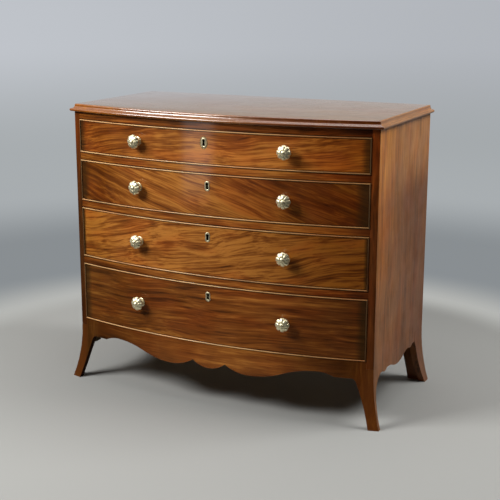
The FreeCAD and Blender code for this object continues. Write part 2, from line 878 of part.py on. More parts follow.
def lock_body(drawer):
    """The case with its cap and drill pin, and the open-backed recess that takes them."""
    x = drawer.keyhole_x
    y0 = drawer.lock_front
    y1 = drawer.lock_back
    z1 = drawer.top
    z0 = z1 - lock_height
    half = lock_width / 2
    whole = box(x - half, x + half, y0, y1, z0, z1)
    cap = box(x - half, x + half, y1 - lock_wall, y1, z0, z1 - lock_wall)
    hollow = box(x - half + lock_wall, x + half - lock_wall, y0 + lock_wall, y1 - lock_wall,
                 z0 + lock_wall, z1 - lock_wall)
    middle_y = (y0 + y1) / 2
    slot_half = bolt_width / 2 + bolt_clearance
    slot_thick = bolt_thickness / 2 + bolt_clearance
    slot = box(x - slot_half, x + slot_half, middle_y - slot_thick, middle_y + slot_thick,
               z1 - 2 * lock_wall, z1 + overrun)
    case = whole.cut(cap).cut(hollow).cut(slot).cut(keyhole_slot(drawer))
    pin_z = drawer.keyhole_z + keyhole_height / 2 - keyhole_head_radius
    pin = prism(drill_pin_radius, rod_sides, -lock_depth + lock_wall, 0)
    pin.rotate(Vector(0, 0, 0), Vector(1, 0, 0), 90)
    pin.translate(Vector(x, y0, pin_z))
    recess = box(x - half, x + half, y0, y1 + bow_rise, z0, z1)
    return [case, cap.fuse(pin).removeSplitter()], recess


def lock_bolt(drawer):
    """The sliding bolt, flush with the front's top edge, with a notch for the key."""
    x = drawer.keyhole_x
    middle_y = (drawer.lock_front + drawer.lock_back) / 2
    z1 = drawer.top
    half = bolt_width / 2
    bolt = box(x - half, x + half, middle_y - bolt_thickness / 2, middle_y + bolt_thickness / 2,
               z1 - bolt_height, z1)
    notch_half = bolt_notch_width / 2
    notch = box(x - notch_half, x + notch_half, middle_y - bolt_thickness,
                middle_y + bolt_thickness, z1 - bolt_height - overrun,
                z1 - bolt_height + bolt_notch_height)
    return bolt.cut(notch)


def knob_ring(radius, height, scallop=0.0, groove=0.0):
    """Points round the knob's axis: one on each petal and one in each dip between two."""
    ring = []
    for index in range(2 * knob_petals):
        turn = math.pi * index / knob_petals
        in_dip = index % 2
        across = radius - scallop * in_dip
        ring.append(Vector(across * math.cos(turn), across * math.sin(turn),
                           height - groove * in_dip))
    return ring


def stacked_rings(rings):
    """A closed solid whose skin runs from ring to ring in three-sided facets."""
    faces = []
    for lower, upper in zip(rings, rings[1:]):
        for index, corner in enumerate(lower):
            beside = (index + 1) % len(lower)
            faces.append(facet(corner, lower[beside], upper[index]))
            faces.append(facet(lower[beside], upper[beside], upper[index]))
    faces.append(Part.Face(Part.makePolygon(rings[0] + rings[0][:1])))
    faces.append(Part.Face(Part.makePolygon(rings[-1] + rings[-1][:1])))
    return Part.Solid(Part.Shell(faces))


def facet(a, b, c):
    return Part.Face(Part.makePolygon([a, b, c, a]))


def upright_knob():
    """A flower-headed knob standing on the origin, with its post below."""
    knob = stacked_rings([
        knob_ring(rose_radius, 0),
        knob_ring(rose_radius, rose_thickness),
        knob_ring(neck_radius, rose_thickness),
        knob_ring(neck_radius, neck_height),
        knob_ring(knob_radius, rim_height, petal_scallop),
        knob_ring(crown_radius, crown_height, petal_scallop, petal_groove / 2),
        knob_ring(shoulder_radius, shoulder_height, 0, petal_groove),
        knob_ring(boss_radius, shoulder_height - boss_sink, 0, 0),
        knob_ring(boss_tip_radius, knob_reach),
    ])
    return knob.fuse(prism(post_radius, rod_sides, -post_length, 0))


def placed_on_front(shape, x, z):
    """A piece drawn upright, laid on the bow at x and z with its axis square to it."""
    piece = shape.copy()
    piece.rotate(Vector(0, 0, 0), Vector(1, 0, 0), 90)
    piece.rotate(Vector(0, 0, 0), Vector(0, 0, 1), bow_angle(x))
    piece.translate(Vector(x, bow_y(x), z))
    return piece


def drawer_parts(drawer):
    """All nodes of one drawer, by their names after the drawer's own."""
    blank = bow_slab(-front_half, front_half, drawer.bottom, drawer.top, 0, -front_thickness)
    lining_half = front_half - drawer_side_thickness
    board = bow_to_back(-lining_half - bottom_tongue, lining_half + bottom_tongue, drawer_back,
                        drawer.board_bottom, drawer.board_top,
                        bottom_front_tongue - front_thickness)
    sides = pair(drawer_side(drawer, board))
    back = box(-front_half, front_half, drawer_back - drawer_back_thickness, drawer_back,
               drawer.board_top, drawer.back_top)
    for side in sides:
        back = back.cut(side)

    lock, lock_recess = lock_body(drawer)
    bead_bottom = bead_strip(drawer.bottom, drawer.bottom, drawer.bottom + bead_width)
    bead_top = bead_strip(drawer.top - bead_width, drawer.top, drawer.top - bead_width)
    bead_top = bead_top.cut(lock_recess)
    beads = [bead_bottom, bead_top] + pair(bead_end(drawer.bottom, drawer.top))
    plates, plate_seats = escutcheon(drawer)
    post_hole = prism(post_radius + post_clearance, rod_sides, -post_length - post_clearance,
                      front_thickness)
    knob = upright_knob()
    knobs = []
    front = blank
    for x in (-knob_offset, knob_offset):
        knobs.append(placed_on_front(knob, x, drawer.knob_z))
        front = front.cut(placed_on_front(post_hole, x, drawer.knob_z))
    for piece in sides + beads + plate_seats + [board, lock_recess]:
        front = front.cut(piece)
    front = front.cut(keyhole_slot(drawer))
    return {
        "front": [front],
        "cockbead": beads,
        "sides": sides,
        "back": [back],
        "bottom": [board],
        "knobs": knobs,
        "escutcheon": plates,
        "lock": lock,
        "lock_bolt": [lock_bolt(drawer)],
    }


# ---------------------------------------------------------------- assembly


def all_nodes():
    """Every node's name with the separate solids that it holds."""
    nodes = {}
    nodes["top_board"] = [top_board()]
    nodes["side_left"], nodes["side_right"] = [[side] for side in pair(side_board())]
    nodes["stile_left"], nodes["stile_right"] = [[piece] for piece in pair(stile())]
    nodes["top_rail"] = [top_rail()]
    for name, drawer in zip(("rail_upper", "rail_middle", "rail_lower"), drawers[1:]):
        nodes[name] = [divider(drawer)]
    nodes["bottom_rail"] = [rail(base_height)]
    nodes["bottom_board"] = [bottom_board()]
    nodes["back_boards"] = back_boards()
    nodes["dust_boards"] = [dust_groove(drawer.ceiling) for drawer in drawers[1:]]
    nodes["runners_and_kickers"] = runners_and_kickers()
    nodes["drawer_stops"] = drawer_stops()
    nodes["apron_front"] = [front_apron()]
    nodes["apron_left"], nodes["apron_right"] = [[piece] for piece in pair(side_apron())]
    nodes["foot_front_right"] = front_foot()
    nodes["foot_front_left"] = [mirrored(piece) for piece in nodes["foot_front_right"]]
    nodes["foot_back_right"] = rear_foot()
    nodes["foot_back_left"] = [mirrored(piece) for piece in nodes["foot_back_right"]]
    nodes["glue_blocks"] = glue_blocks()
    for drawer in drawers:
        for part_name, solids in drawer_parts(drawer).items():
            nodes[drawer.name + "_" + part_name] = solids
    return nodes


def front_of_chest():
    """How far the foremost point stands in front of the carcass corners."""
    turn = math.radians(bow_angle(knob_offset))
    knob_front = -bow_y(knob_offset) + knob_reach * math.cos(turn)
    knob_front += boss_tip_radius * math.sin(turn)
    return max(bow_rise + top_overhang, knob_front)


def main():
    os.makedirs("parts", exist_ok=True)
    to_origin = Vector(0, (front_of_chest() - carcass_depth) / 2, 0)
    for name, solids in all_nodes().items():
        shape = Part.makeCompound(solids_of(solids))
        shape.translate(to_origin)
        shape.exportStep("parts/" + name + ".step")


main()
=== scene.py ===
"""Bow front chest of four graduated drawers: finishes, brasses and studio round the fixed frame."""
import json
from math import asin, cos, pi, radians, sin, sqrt, tau

import bmesh
import bpy
from mathutils import Matrix, Vector


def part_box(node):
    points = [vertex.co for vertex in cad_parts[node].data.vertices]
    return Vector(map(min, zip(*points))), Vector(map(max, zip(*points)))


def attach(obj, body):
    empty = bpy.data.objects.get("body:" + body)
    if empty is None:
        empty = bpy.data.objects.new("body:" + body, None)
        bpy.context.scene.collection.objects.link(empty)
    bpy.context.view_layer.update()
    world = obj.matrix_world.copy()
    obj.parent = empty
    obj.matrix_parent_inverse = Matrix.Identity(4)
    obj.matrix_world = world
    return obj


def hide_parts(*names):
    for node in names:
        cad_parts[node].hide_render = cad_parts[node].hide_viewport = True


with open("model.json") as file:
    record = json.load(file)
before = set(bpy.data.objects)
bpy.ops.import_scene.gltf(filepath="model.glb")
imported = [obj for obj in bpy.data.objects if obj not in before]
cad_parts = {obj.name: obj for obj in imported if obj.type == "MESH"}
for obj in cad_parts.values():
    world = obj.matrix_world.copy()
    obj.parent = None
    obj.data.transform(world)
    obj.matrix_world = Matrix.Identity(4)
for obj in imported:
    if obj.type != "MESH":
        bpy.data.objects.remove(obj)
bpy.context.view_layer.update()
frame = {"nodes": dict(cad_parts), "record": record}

bl_info = {
    "name": "Bow Front Chest of Drawers",
    "version": (1, 0, 0),
    "blender": (4, 5, 0),
    "location": "View3D > Sidebar > Chest",
    "description": "Builds the finishes, mouldings, brasses and studio of a bow front chest",
    "category": "Object",
}

# ---- what the frame gives

DRAWERS = ("top_drawer", "second_drawer", "third_drawer", "bottom_drawer")
RAILS = ("top_rail", "rail_upper", "rail_middle", "rail_lower")
NODES = frame["nodes"]
TOP_LOW, TOP_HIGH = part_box("top_board")
HALF_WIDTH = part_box("side_right")[1].x
BEAD_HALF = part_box("top_drawer_cockbead")[1].x
BOW_FRONT_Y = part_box("top_drawer_front")[0].y

# ---- settings


def length(name, metres, description):
    return bpy.props.FloatProperty(name=name, default=metres, description=description,
                                   subtype="DISTANCE", unit="LENGTH", precision=4)


def colour(name, rgb, description):
    return bpy.props.FloatVectorProperty(name=name, default=rgb, description=description,
                                         subtype="COLOR", size=3, min=0.0, max=1.0)


def share(name, value, description):
    return bpy.props.FloatProperty(name=name, default=value, description=description,
                                   subtype="FACTOR", min=0.0, max=1.0)


def angle(name, degrees, description):
    return bpy.props.FloatProperty(name=name, default=radians(degrees), subtype="ANGLE",
                                   unit="ROTATION", description=description)


def power(name, watts, description):
    return bpy.props.FloatProperty(name=name, default=watts, unit="POWER", min=0.0,
                                   description=description)


class ChestSizes(bpy.types.PropertyGroup):
    """Sizes of the pieces that are finer than the frame's solids"""

    bow_rise: length("Bow rise", 0.064, "How far the front bulges past its two corners")
    front_thickness: length("Front thickness", 0.022, "Of each drawer front")
    bead_width: length("Cockbead width", 0.003, "Seen from the front")
    bead_proud: length("Cockbead stand", 0.0025, "How far it stands in front of the drawer")
    bead_depth: length("Cockbead rebate", 0.006, "How deep the end strips are let in")
    nose_height: length("Nose height", 0.009, "Half-round lower edge of the top")
    hollow_run: length("Hollow run", 0.008, "Width of the hollow above the nose")
    shoulder: length("Shoulder", 0.0045, "Rounded edge between the top face and the hollow")
    ease: length("Eased edge", 0.0006, "Wear on the corners of the woodwork")
    knob_radius: length("Knob radius", 0.0205, "To the tips of the petals")
    knob_reach: length("Knob reach", 0.032, "Drawer front to the tip of the boss")
    knob_offset: length("Knob offset", 0.232, "Middle of the front to each knob")
    petals: bpy.props.IntProperty(name="Petals", default=8, min=5, max=12,
                                  description="Petals round each knob")
    rim_width: length("Escutcheon width", 0.016, "Of the keyhole surround")
    rim_height: length("Escutcheon height", 0.028, "Of the keyhole surround")
    rim_waist: length("Escutcheon waist", 0.0146, "Width at the middle of the surround")
    rim_stand: length("Escutcheon stand", 0.0008, "In front of the drawer")
    screw_radius: length("Screw head radius", 0.0032, "Lock screws")
    nail_radius: length("Nail head radius", 0.0022, "Nails in the back boards")
    back_shrinkage: length("Back shrinkage", 0.0008, "Back boards below the case's back edges")


class ChestColours(bpy.types.PropertyGroup):
    """Colours of the woods, metals and the studio"""

    front_dark: colour("Front, dark figure", (0.055, 0.015, 0.003), "Darkest streaks")
    front_mid: colour("Front, ground", (0.20, 0.056, 0.008), "Body colour of the veneer")
    front_light: colour("Front, light figure", (0.44, 0.165, 0.028), "Lightest streaks")
    stile: colour("Stiles", (0.135, 0.035, 0.006), "Dark red-brown uprights")
    side: colour("Sides", (0.32, 0.138, 0.044), "Waxed ends of the case")
    top: colour("Top", (0.115, 0.055, 0.021), "Polished top")
    # The cockbeads' pale colour is a painted highlight
    bead: colour("Cockbeads", (0.56, 0.33, 0.14), "Painted highlight along the nose")
    # Painted shade laid on the two ends of each drawer front and rail
    end_shade: colour("Drawer ends", (0.022, 0.012, 0.003), "Painted shade where the bow turns from the light")
    oak: colour("Oak", (0.42, 0.28, 0.145), "Drawer linings")
    pine: colour("Pine", (0.36, 0.235, 0.125), "Back, bottom and blocks")
    brass: colour("Polished brass", (0.92, 0.83, 0.54), "Knobs and escutcheons")
    old_brass: colour("Dull brass", (0.50, 0.37, 0.17), "Locks")
    steel: colour("Steel", (0.36, 0.34, 0.32), "Bolts, screws and nails")
    floor: colour("Floor", (0.315, 0.315, 0.300), "Studio floor")
    shelf: colour("Floor's far edge", (0.47, 0.475, 0.455), "Pale line at the paper's bend")
    band: colour("Backdrop's foot", (0.25, 0.27, 0.285), "Backdrop at its darkest")
    wall: colour("Backdrop, lower", (0.39, 0.415, 0.43), "Backdrop at mid height")
    haze: colour("Backdrop, upper", (0.53, 0.555, 0.595), "Backdrop high up")
    glow: colour("Above the backdrop", (0.50, 0.455, 0.41), "What the top reflects")
    room: colour("Dark room", (0.012, 0.012, 0.012), "Behind the camera")
    window: colour("Window", (0.75, 0.68, 0.66), "Tall soft light in the dark room")
    ceiling: colour("Ceiling", (0.9, 0.88, 0.85), "Above the dark room")


class ChestStudio(bpy.types.PropertyGroup):
    """Camera and lamps"""

    lens: bpy.props.FloatProperty(name="Lens", default=78.08, description="Focal length",
                                  subtype="DISTANCE_CAMERA", unit="CAMERA")
    yaw: angle("Yaw", 26.017, "Camera turned to the left")
    pitch: angle("Pitch", -13.70, "Camera tilted down")
    roll: angle("Roll", 0.082, "Camera turned about its axis")
    camera_place: bpy.props.FloatVectorProperty(
        name="Camera place", default=(1.4089, -2.8573, 1.1933), subtype="TRANSLATION",
        unit="LENGTH", description="Where the camera stands")
    key_power: power("Key lamp", 124.0, "Soft box high to the front left")
    top_power: power("Overhead lamp", 40.0, "Large soft box above")
    side_power: power("Side lamp", 46.0, "Soft box high to the right")
    window_turn: angle("Window turn", 29.5, "To the left of straight ahead")
    window_half: angle("Window half width", 3.5, "Half of its width as seen from the chest")
    window_level: bpy.props.FloatProperty(name="Window level", default=2.6, min=0.0, max=8.0,
                                          subtype="FACTOR", description="Its brightness")
    ambient: share("Ambient", 0.03, "Even light from all round")


def sizes():
    return bpy.context.scene.chest_sizes


def colours():
    return bpy.context.scene.chest_colours


def studio():
    return bpy.context.scene.chest_studio


# ---- geometry of the bow

BOW_STEPS = 57
TOP_STEPS = 65
SHOULDER_STEPS = 7
HOLLOW_STEPS = 9
NOSE_STEPS = 15
BEAD_STEPS = 9
RIM_STEPS = 72
RIM_END_STEPS = 21
KEYHOLE_HEAD_STEPS = 25
KEYHOLE_FOOT_STEPS = 7
HEAD_STEPS = 20


def bow_radius():
    rise = sizes().bow_rise
    return (HALF_WIDTH ** 2 + rise ** 2) / (2 * rise)


def bow_centre():
    return BOW_FRONT_Y + bow_radius()


def bow_y(x, offset=0.0):
    """The y of the bowed front at x, or of a surface that far in front of it."""
    return bow_centre() - sqrt((bow_radius() + offset) ** 2 - x ** 2)


def on_front(x, z):
    """A frame on the bowed front: its z axis points straight out of the wood."""
    turn = asin(x / bow_radius())
    return (Matrix.Translation((x, bow_y(x), z)) @ Matrix.Rotation(turn, 4, "Z")
            @ Matrix.Rotation(pi / 2, 4, "X"))


def spread(low, high, count):
    return [low + (high - low) * index / (count - 1) for index in range(count)]


# ---- making pieces

SAME_PLACE = 2e-6
FLAT_WITHIN = radians(0.3)
CURVE_CREASE = 24.0
EASED_PAST = radians(35)


def mesh_of(name, bm):
    """The finished bmesh as a mesh."""
    mesh = bpy.data.meshes.new(name)
    bm.to_mesh(mesh)
    bm.free()
    return mesh


def add_object(name, data):
    added = bpy.data.objects.new(name, data)
    bpy.context.scene.collection.objects.link(added)
    return added


def new_piece(name, bm, body, material):
    """A finished mesh with its place in its vertices, on its body."""
    piece = add_object(name, mesh_of(name, bm))
    piece.data.materials.append(material)
    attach(piece, body)
    return piece


def shade(bm, crease):
    """Smooth shading, with a crisp edge wherever the faces turn by more degrees than that."""
    limit = radians(crease)
    for face in bm.faces:
        face.smooth = True
    for edge in bm.edges:
        edge.smooth = len(edge.link_faces) == 2 and edge.calc_face_angle(pi) < limit


def body_holding(node):
    for body, members in frame["record"]["behaviour"]["bodies"].items():
        if node in members:
            return body
    raise RuntimeError("no body holds " + node)


def piece_for(node, bm, material, crease, outward=True):
    """A node's piece, on its body, its faces turned outwards if they need it."""
    if outward:
        bmesh.ops.recalc_face_normals(bm, faces=bm.faces)
    shade(bm, crease)
    return new_piece(node + "_finished", bm, body_holding(node), material)


def worked_copy(node, material, ease=True):
    """The node's solid with its facets merged, smooth where it curves, its corners eased."""
    source = NODES[node].data
    bm = bmesh.new()
    for vertex in source.vertices:
        bm.verts.new(vertex.co)
    bm.verts.ensure_lookup_table()
    for polygon in source.polygons:
        corners = [bm.verts[index] for index in polygon.vertices]
        if bm.faces.get(corners) is None:
            bm.faces.new(corners)
    bmesh.ops.remove_doubles(bm, verts=bm.verts, dist=SAME_PLACE)
    bmesh.ops.dissolve_limit(bm, angle_limit=FLAT_WITHIN, verts=bm.verts, edges=bm.edges)
    piece = piece_for(node, bm, material, CURVE_CREASE, outward=False)
    if ease:
        bevel = piece.modifiers.new("Eased", "BEVEL")
        bevel.width = sizes().ease
        bevel.segments = 2
        bevel.limit_method = "ANGLE"
        bevel.angle_limit = EASED_PAST
        bevel.harden_normals = True
    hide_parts(node)
    return piece


def second_finish(piece, material, chosen):
    """Gives another material to the faces for which chosen(face) is true."""
    piece.data.materials.append(material)
    index = len(piece.data.materials) - 1
    for face in piece.data.polygons:
        if chosen(face):
            face.material_index = index


def finish_node(node, material):
    """A node whose own shape is right gets its finish."""
    data = NODES[node].data
    data.materials.clear()
    data.materials.append(material)


def ring_stack(bm, loops, closed=True):
    """Faces between successive loops of points; closed joins the last to the first."""
    rows = [[bm.verts.new(point) for point in loop] for loop in loops]
    pairs = list(zip(rows, rows[1:]))
    if closed:
        pairs.append((rows[-1], rows[0]))
    for lower, upper in pairs:
        for index, corner in enumerate(lower):
            beside = (index + 1) % len(lower)
            bm.faces.new((corner, lower[beside], upper[beside], upper[index]))
    return rows


def capped_stack(bm, loops):
    """A closed solid of loops of points, each above the last."""
    rows = ring_stack(bm, loops, closed=False)
    bm.faces.new(rows[0])
    bm.faces.new(rows[-1])


# ---- shader building

FLOAT = "NodeSocketFloat"
COLOUR = "NodeSocketColor"
VECTOR = "NodeSocketVector"
BLACK = (0.0, 0.0, 0.0, 1.0)
WHITE = (1.0, 1.0, 1.0, 1.0)


def feed(tree, sockets, values):
    """Gives each named socket its value, or a link from the output that feeds it."""
    for name, value in values.items():
        if isinstance(value, bpy.types.NodeSocket):
            tree.links.new(value, sockets[name])
        else:
            sockets[name].default_value = value


def put(tree, kind, values=None, **settings):
    """One node with its settings and what feeds its inputs."""
    node = tree.nodes.new(kind)
    for name, value in settings.items():
        setattr(node, name, value)
    feed(tree, node.inputs, values or {})
    return node


def out(tree, kind, values=None, **settings):
    """What a new node puts out first."""
    return put(tree, kind, values, **settings).outputs[0]


def use_group(tree, group_name, values):
    return put(tree, "ShaderNodeGroup", values,
               node_tree=bpy.data.node_groups[group_name]).outputs


def rgba(rgb):
    return (rgb[0], rgb[1], rgb[2], 1.0)


def scaled(rgb, factor):
    return tuple(min(1.0, channel * factor) for channel in rgb)


def maths(tree, operation, a, b=0.0, c=0.0):
    return out(tree, "ShaderNodeMath", {0: a, 1: b, 2: c}, operation=operation)


def times(tree, a, b):
    return maths(tree, "MULTIPLY", a, b)


def vectors(tree, operation, *values):
    return put(tree, "ShaderNodeVectorMath", dict(enumerate(values)),
               operation=operation).outputs


def stretched(tree, vector, scale):
    return vectors(tree, "MULTIPLY", vector, scale)[0]


def split_xyz(tree, vector):
    return put(tree, "ShaderNodeSeparateXYZ", {0: vector}).outputs


def blend(tree, amount, a, b, blend_type="MIX"):
    return put(tree, "ShaderNodeMix", {0: amount, 6: a, 7: b}, data_type="RGBA",
               blend_type=blend_type).outputs[2]


def ramped(tree, value, low, high):
    """0 at low, 1 at high, smooth between; low may be the greater."""
    return out(tree, "ShaderNodeMapRange", {0: value, 1: low, 2: high, 3: 0.0, 4: 1.0},
               interpolation_type="SMOOTHSTEP")


def noise(tree, vector, scale, detail=3.0, roughness=0.5, distortion=0.0):
    return put(tree, "ShaderNodeTexNoise",
               {"Vector": vector, "Scale": scale, "Detail": detail, "Roughness": roughness,
                "Distortion": distortion}).outputs


def relief(tree, height, strength, distance):
    return out(tree, "ShaderNodeBump",
               {"Height": height, "Strength": strength, "Distance": distance})


def shader_group(name, inputs, outputs):
    """An empty node group. An input is the type of its socket, or a number, its default."""
    tree = bpy.data.node_groups.new(name, "ShaderNodeTree")
    for title, kind in inputs.items():
        if isinstance(kind, float):
            tree.interface.new_socket(title, socket_type=FLOAT).default_value = kind
        else:
            tree.interface.new_socket(title, socket_type=kind)
    for title, kind in outputs.items():
        tree.interface.new_socket(title, in_out="OUTPUT", socket_type=kind)
    return tree, tree.nodes.new("NodeGroupInput").outputs, tree.nodes.new("NodeGroupOutput").inputs


def wood_figure_group():
    """Sawn figure along x: broad and narrow streaks, cloudy mottle, fine pores."""
    tree, given, result = shader_group(
        "Wood Figure",
        {"Vector": VECTOR, "Dark": COLOUR, "Mid": COLOUR, "Light": COLOUR, "Streaks": 22.0,
         "Stretch": 0.09, "Sway": 0.05, "Mottle": 0.4, "Narrow": 0.65, "Fine": 0.4,
         "Blush": 0.4, "Pores": 0.35, "Bias": 0.0},
        {"Color": COLOUR, "Height": FLOAT})
    place = given["Vector"]
    drift = noise(tree, stretched(tree, place, (0.55, 1.0, 1.0)), 5.0, 2.0, 0.45)["Color"]
    centred = vectors(tree, "SUBTRACT", drift, (0.5, 0.5, 0.5))[0]
    shift = out(tree, "ShaderNodeVectorMath", {0: centred, "Scale": given["Sway"]},
                operation="SCALE")
    swayed = vectors(tree, "ADD", place, shift)[0]
    along = out(tree, "ShaderNodeCombineXYZ", {0: given["Stretch"], 1: 1.0, 2: 1.0})
    # how each mark is drawn out, and its noise's scale, detail, roughness and distortion
    marks = {
        "broad": (along, given["Streaks"], 3.0, 0.5, 0.2),
        "narrow": (along, 84.0, 3.0, 0.6, 0.3),
        "fine": ((0.035, 1.0, 1.0), 260.0, 3.0, 0.6),
        "thread": ((0.02, 1.0, 1.0), 620.0, 2.0, 0.55),
        "cloud": ((1.0, 1.0, 0.6), 10.0, 3.0, 0.55, 0.6),
        "blush": ((0.35, 1.0, 1.0), 17.0, 2.0, 0.5),
    }
    mark = {name: noise(tree, stretched(tree, swayed, drawn), *shape)[0]
            for name, (drawn, *shape) in marks.items()}
    level = 0.5
    for name, weight in (("broad", 0.5), ("cloud", given["Mottle"]),
                         ("narrow", given["Narrow"]), ("fine", given["Fine"])):
        level = maths(tree, "MULTIPLY_ADD", maths(tree, "SUBTRACT", mark[name], 0.5), weight,
                      level)
    level = maths(tree, "ADD", level, given["Bias"])
    lifted = blend(tree, ramped(tree, level, 0.2, 0.52), given["Dark"], given["Mid"])
    figured = blend(tree, ramped(tree, level, 0.46, 0.76), lifted, given["Light"])
    redness = times(tree, ramped(tree, mark["blush"], 0.44, 0.68), given["Blush"])
    reddened = blend(tree, redness, figured, (1.0, 0.55, 0.4, 1.0), "MULTIPLY")
    depth = times(tree, ramped(tree, mark["thread"], 0.58, 0.72), given["Pores"])
    feed(tree, result, {"Color": blend(tree, depth, reddened, given["Dark"]),
                        "Height": maths(tree, "SUBTRACT", mark["fine"], depth)})


def painted_edge_shade_group():
    """Painted shade along a panel's borders, where the gaps by the beads and rails fall dark, and,
    wider and softer, painted shade at its two ends.
    """
    tree, given, result = shader_group(
        "Painted Edge Shade",
        {"Vector": VECTOR, "Color": COLOUR, "Gap Shade": COLOUR, "Shade": COLOUR, "Low": 0.0,
         "High": 1.0, "Half": 0.45, "Reach": 0.004, "End Reach": 0.03},
        {"Color": COLOUR})
    place = given["Vector"]
    split = split_xyz(tree, place)
    below = maths(tree, "SUBTRACT", split["Z"], given["Low"])
    above = maths(tree, "SUBTRACT", given["High"], split["Z"])
    beside = maths(tree, "SUBTRACT", given["Half"], maths(tree, "ABSOLUTE", split["X"]))
    nearest = maths(tree, "MINIMUM", maths(tree, "MINIMUM", below, above), beside)
    slow = noise(tree, stretched(tree, place, (1.0, 1.0, 0.5)), 22.0, 3.0, 0.6)[0]
    speckle = noise(tree, place, 90.0, 3.0, 0.6)[0]
    shown = given["Color"]
    for inward, reach, patches, full, strength, tint in (
            (beside, "End Reach", slow, 0.25, 0.75, "Shade"),
            (nearest, "Reach", speckle, 0.1, 0.85, "Gap Shade")):
        width = times(tree, given[reach], maths(tree, "ADD", patches, 0.5))
        laid = ramped(tree, maths(tree, "DIVIDE", inward, width), 1.0, full)
        shown = blend(tree, times(tree, laid, strength), shown, given[tint])
    feed(tree, result, {"Color": shown})


def painted_shading_group():
    """Painted light and shade: a colour made lighter or darker where light falls more or less, from
    a start along the piece to full.
    """
    tree, given, result = shader_group(
        "Fade",
        {"Color": COLOUR, "Along": 0.0, "Start": 0.0, "Full": 1.0, "Limit": 1.0,
         "Tint": COLOUR},
        {"Color": COLOUR})
    reached = ramped(tree, given["Along"], given["Start"], given["Full"])
    amount = times(tree, reached, given["Limit"])
    feed(tree, result, {"Color": blend(tree, amount, given["Color"], given["Tint"], "MULTIPLY")})


def surface_wear_group():
    """Handling marks: a slow change of gloss and a little dirt, both from place alone."""
    tree, given, result = shader_group(
        "Surface Wear",
        {"Vector": VECTOR, "Scale": 14.0, "Rough Low": 0.2, "Rough High": 0.35},
        {"Roughness": FLOAT, "Mask": FLOAT})
    smear = noise(tree, given["Vector"], given["Scale"], 4.0, 0.6)[0]
    mask = ramped(tree, smear, 0.38, 0.68)
    span = maths(tree, "SUBTRACT", given["Rough High"], given["Rough Low"])
    feed(tree, result, {"Roughness": maths(tree, "MULTIPLY_ADD", mask, span, given["Rough Low"]),
                        "Mask": mask})


def worked_metal_group():
    """Metal with tarnish in patches, a gloss that handling has varied, and fine scratches."""
    tree, given, result = shader_group(
        "Worked Metal",
        {"Vector": VECTOR, "Color": COLOUR, "Tarnished": COLOUR, "Tarnish": 0.5,
         "Scale": 60.0, "Rough Low": 0.3, "Rough High": 0.45},
        {"Color": COLOUR, "Roughness": FLOAT, "Height": FLOAT})
    wear = use_group(tree, "Surface Wear", {
        name: given[name] for name in ("Vector", "Scale", "Rough Low", "Rough High")})
    patch = times(tree, wear["Mask"], given["Tarnish"])
    feed(tree, result, {
        "Color": blend(tree, patch, given["Color"], given["Tarnished"]),
        "Roughness": wear["Roughness"],
        "Height": noise(tree, given["Vector"], 900.0, 2.0, 0.6)[0]})


def new_material(name):
    """A material's tree, its surface, and where each point of the piece is."""
    material = bpy.data.materials.new(name)
    material.use_nodes = True
    tree = material.node_tree
    return (tree, tree.nodes["Principled BSDF"],
            put(tree, "ShaderNodeTexCoord").outputs["Object"])


ALONG_X = (0.0, 0.0, 0.0)
ALONG_Y = (0.0, 0.0, -pi / 2)
ALONG_Z = (0.0, pi / 2, 0.0)
WARM = (1.0, 0.72, 0.45, 1.0)
ROUND_THE_BOW = (1.0, 0.12, 1.0)
BACK_BOARDS = 5


def with_painted_shading(tree, place, shown, fades):
    """The colour after each painted light or shade: axis, start, full, tint, and perhaps a limiting
    axis.
    """
    split = split_xyz(tree, place)
    for axis, start, full, tint, *within in fades:
        limit = 1.0
        for other, low, high in within:
            limit = ramped(tree, split[other], low, high)
        shown = use_group(tree, "Fade", {
            "Color": shown, "Along": split[axis], "Start": start, "Full": full,
            "Limit": limit, "Tint": rgba(tint)})["Color"]
    return shown


def board_by_board(tree, place, boards):
    """A different cut of timber for each board, and a dark line where two meet."""
    low, high, count = boards
    x = split_xyz(tree, place)["X"]
    across = maths(tree, "DIVIDE", maths(tree, "SUBTRACT", x, low), (high - low) / count)
    cut = put(tree, "ShaderNodeTexWhiteNoise", {"W": maths(tree, "FLOOR", across)},
              noise_dimensions="1D").outputs
    moved = vectors(tree, "MULTIPLY_ADD", cut["Color"], (3.0, 3.0, 3.0), place)[0]
    past_joint = maths(tree, "SUBTRACT", across, maths(tree, "ROUND", across))
    joint = ramped(tree, maths(tree, "ABSOLUTE", past_joint), 0.016, 0.004)
    return moved, cut["Value"], joint


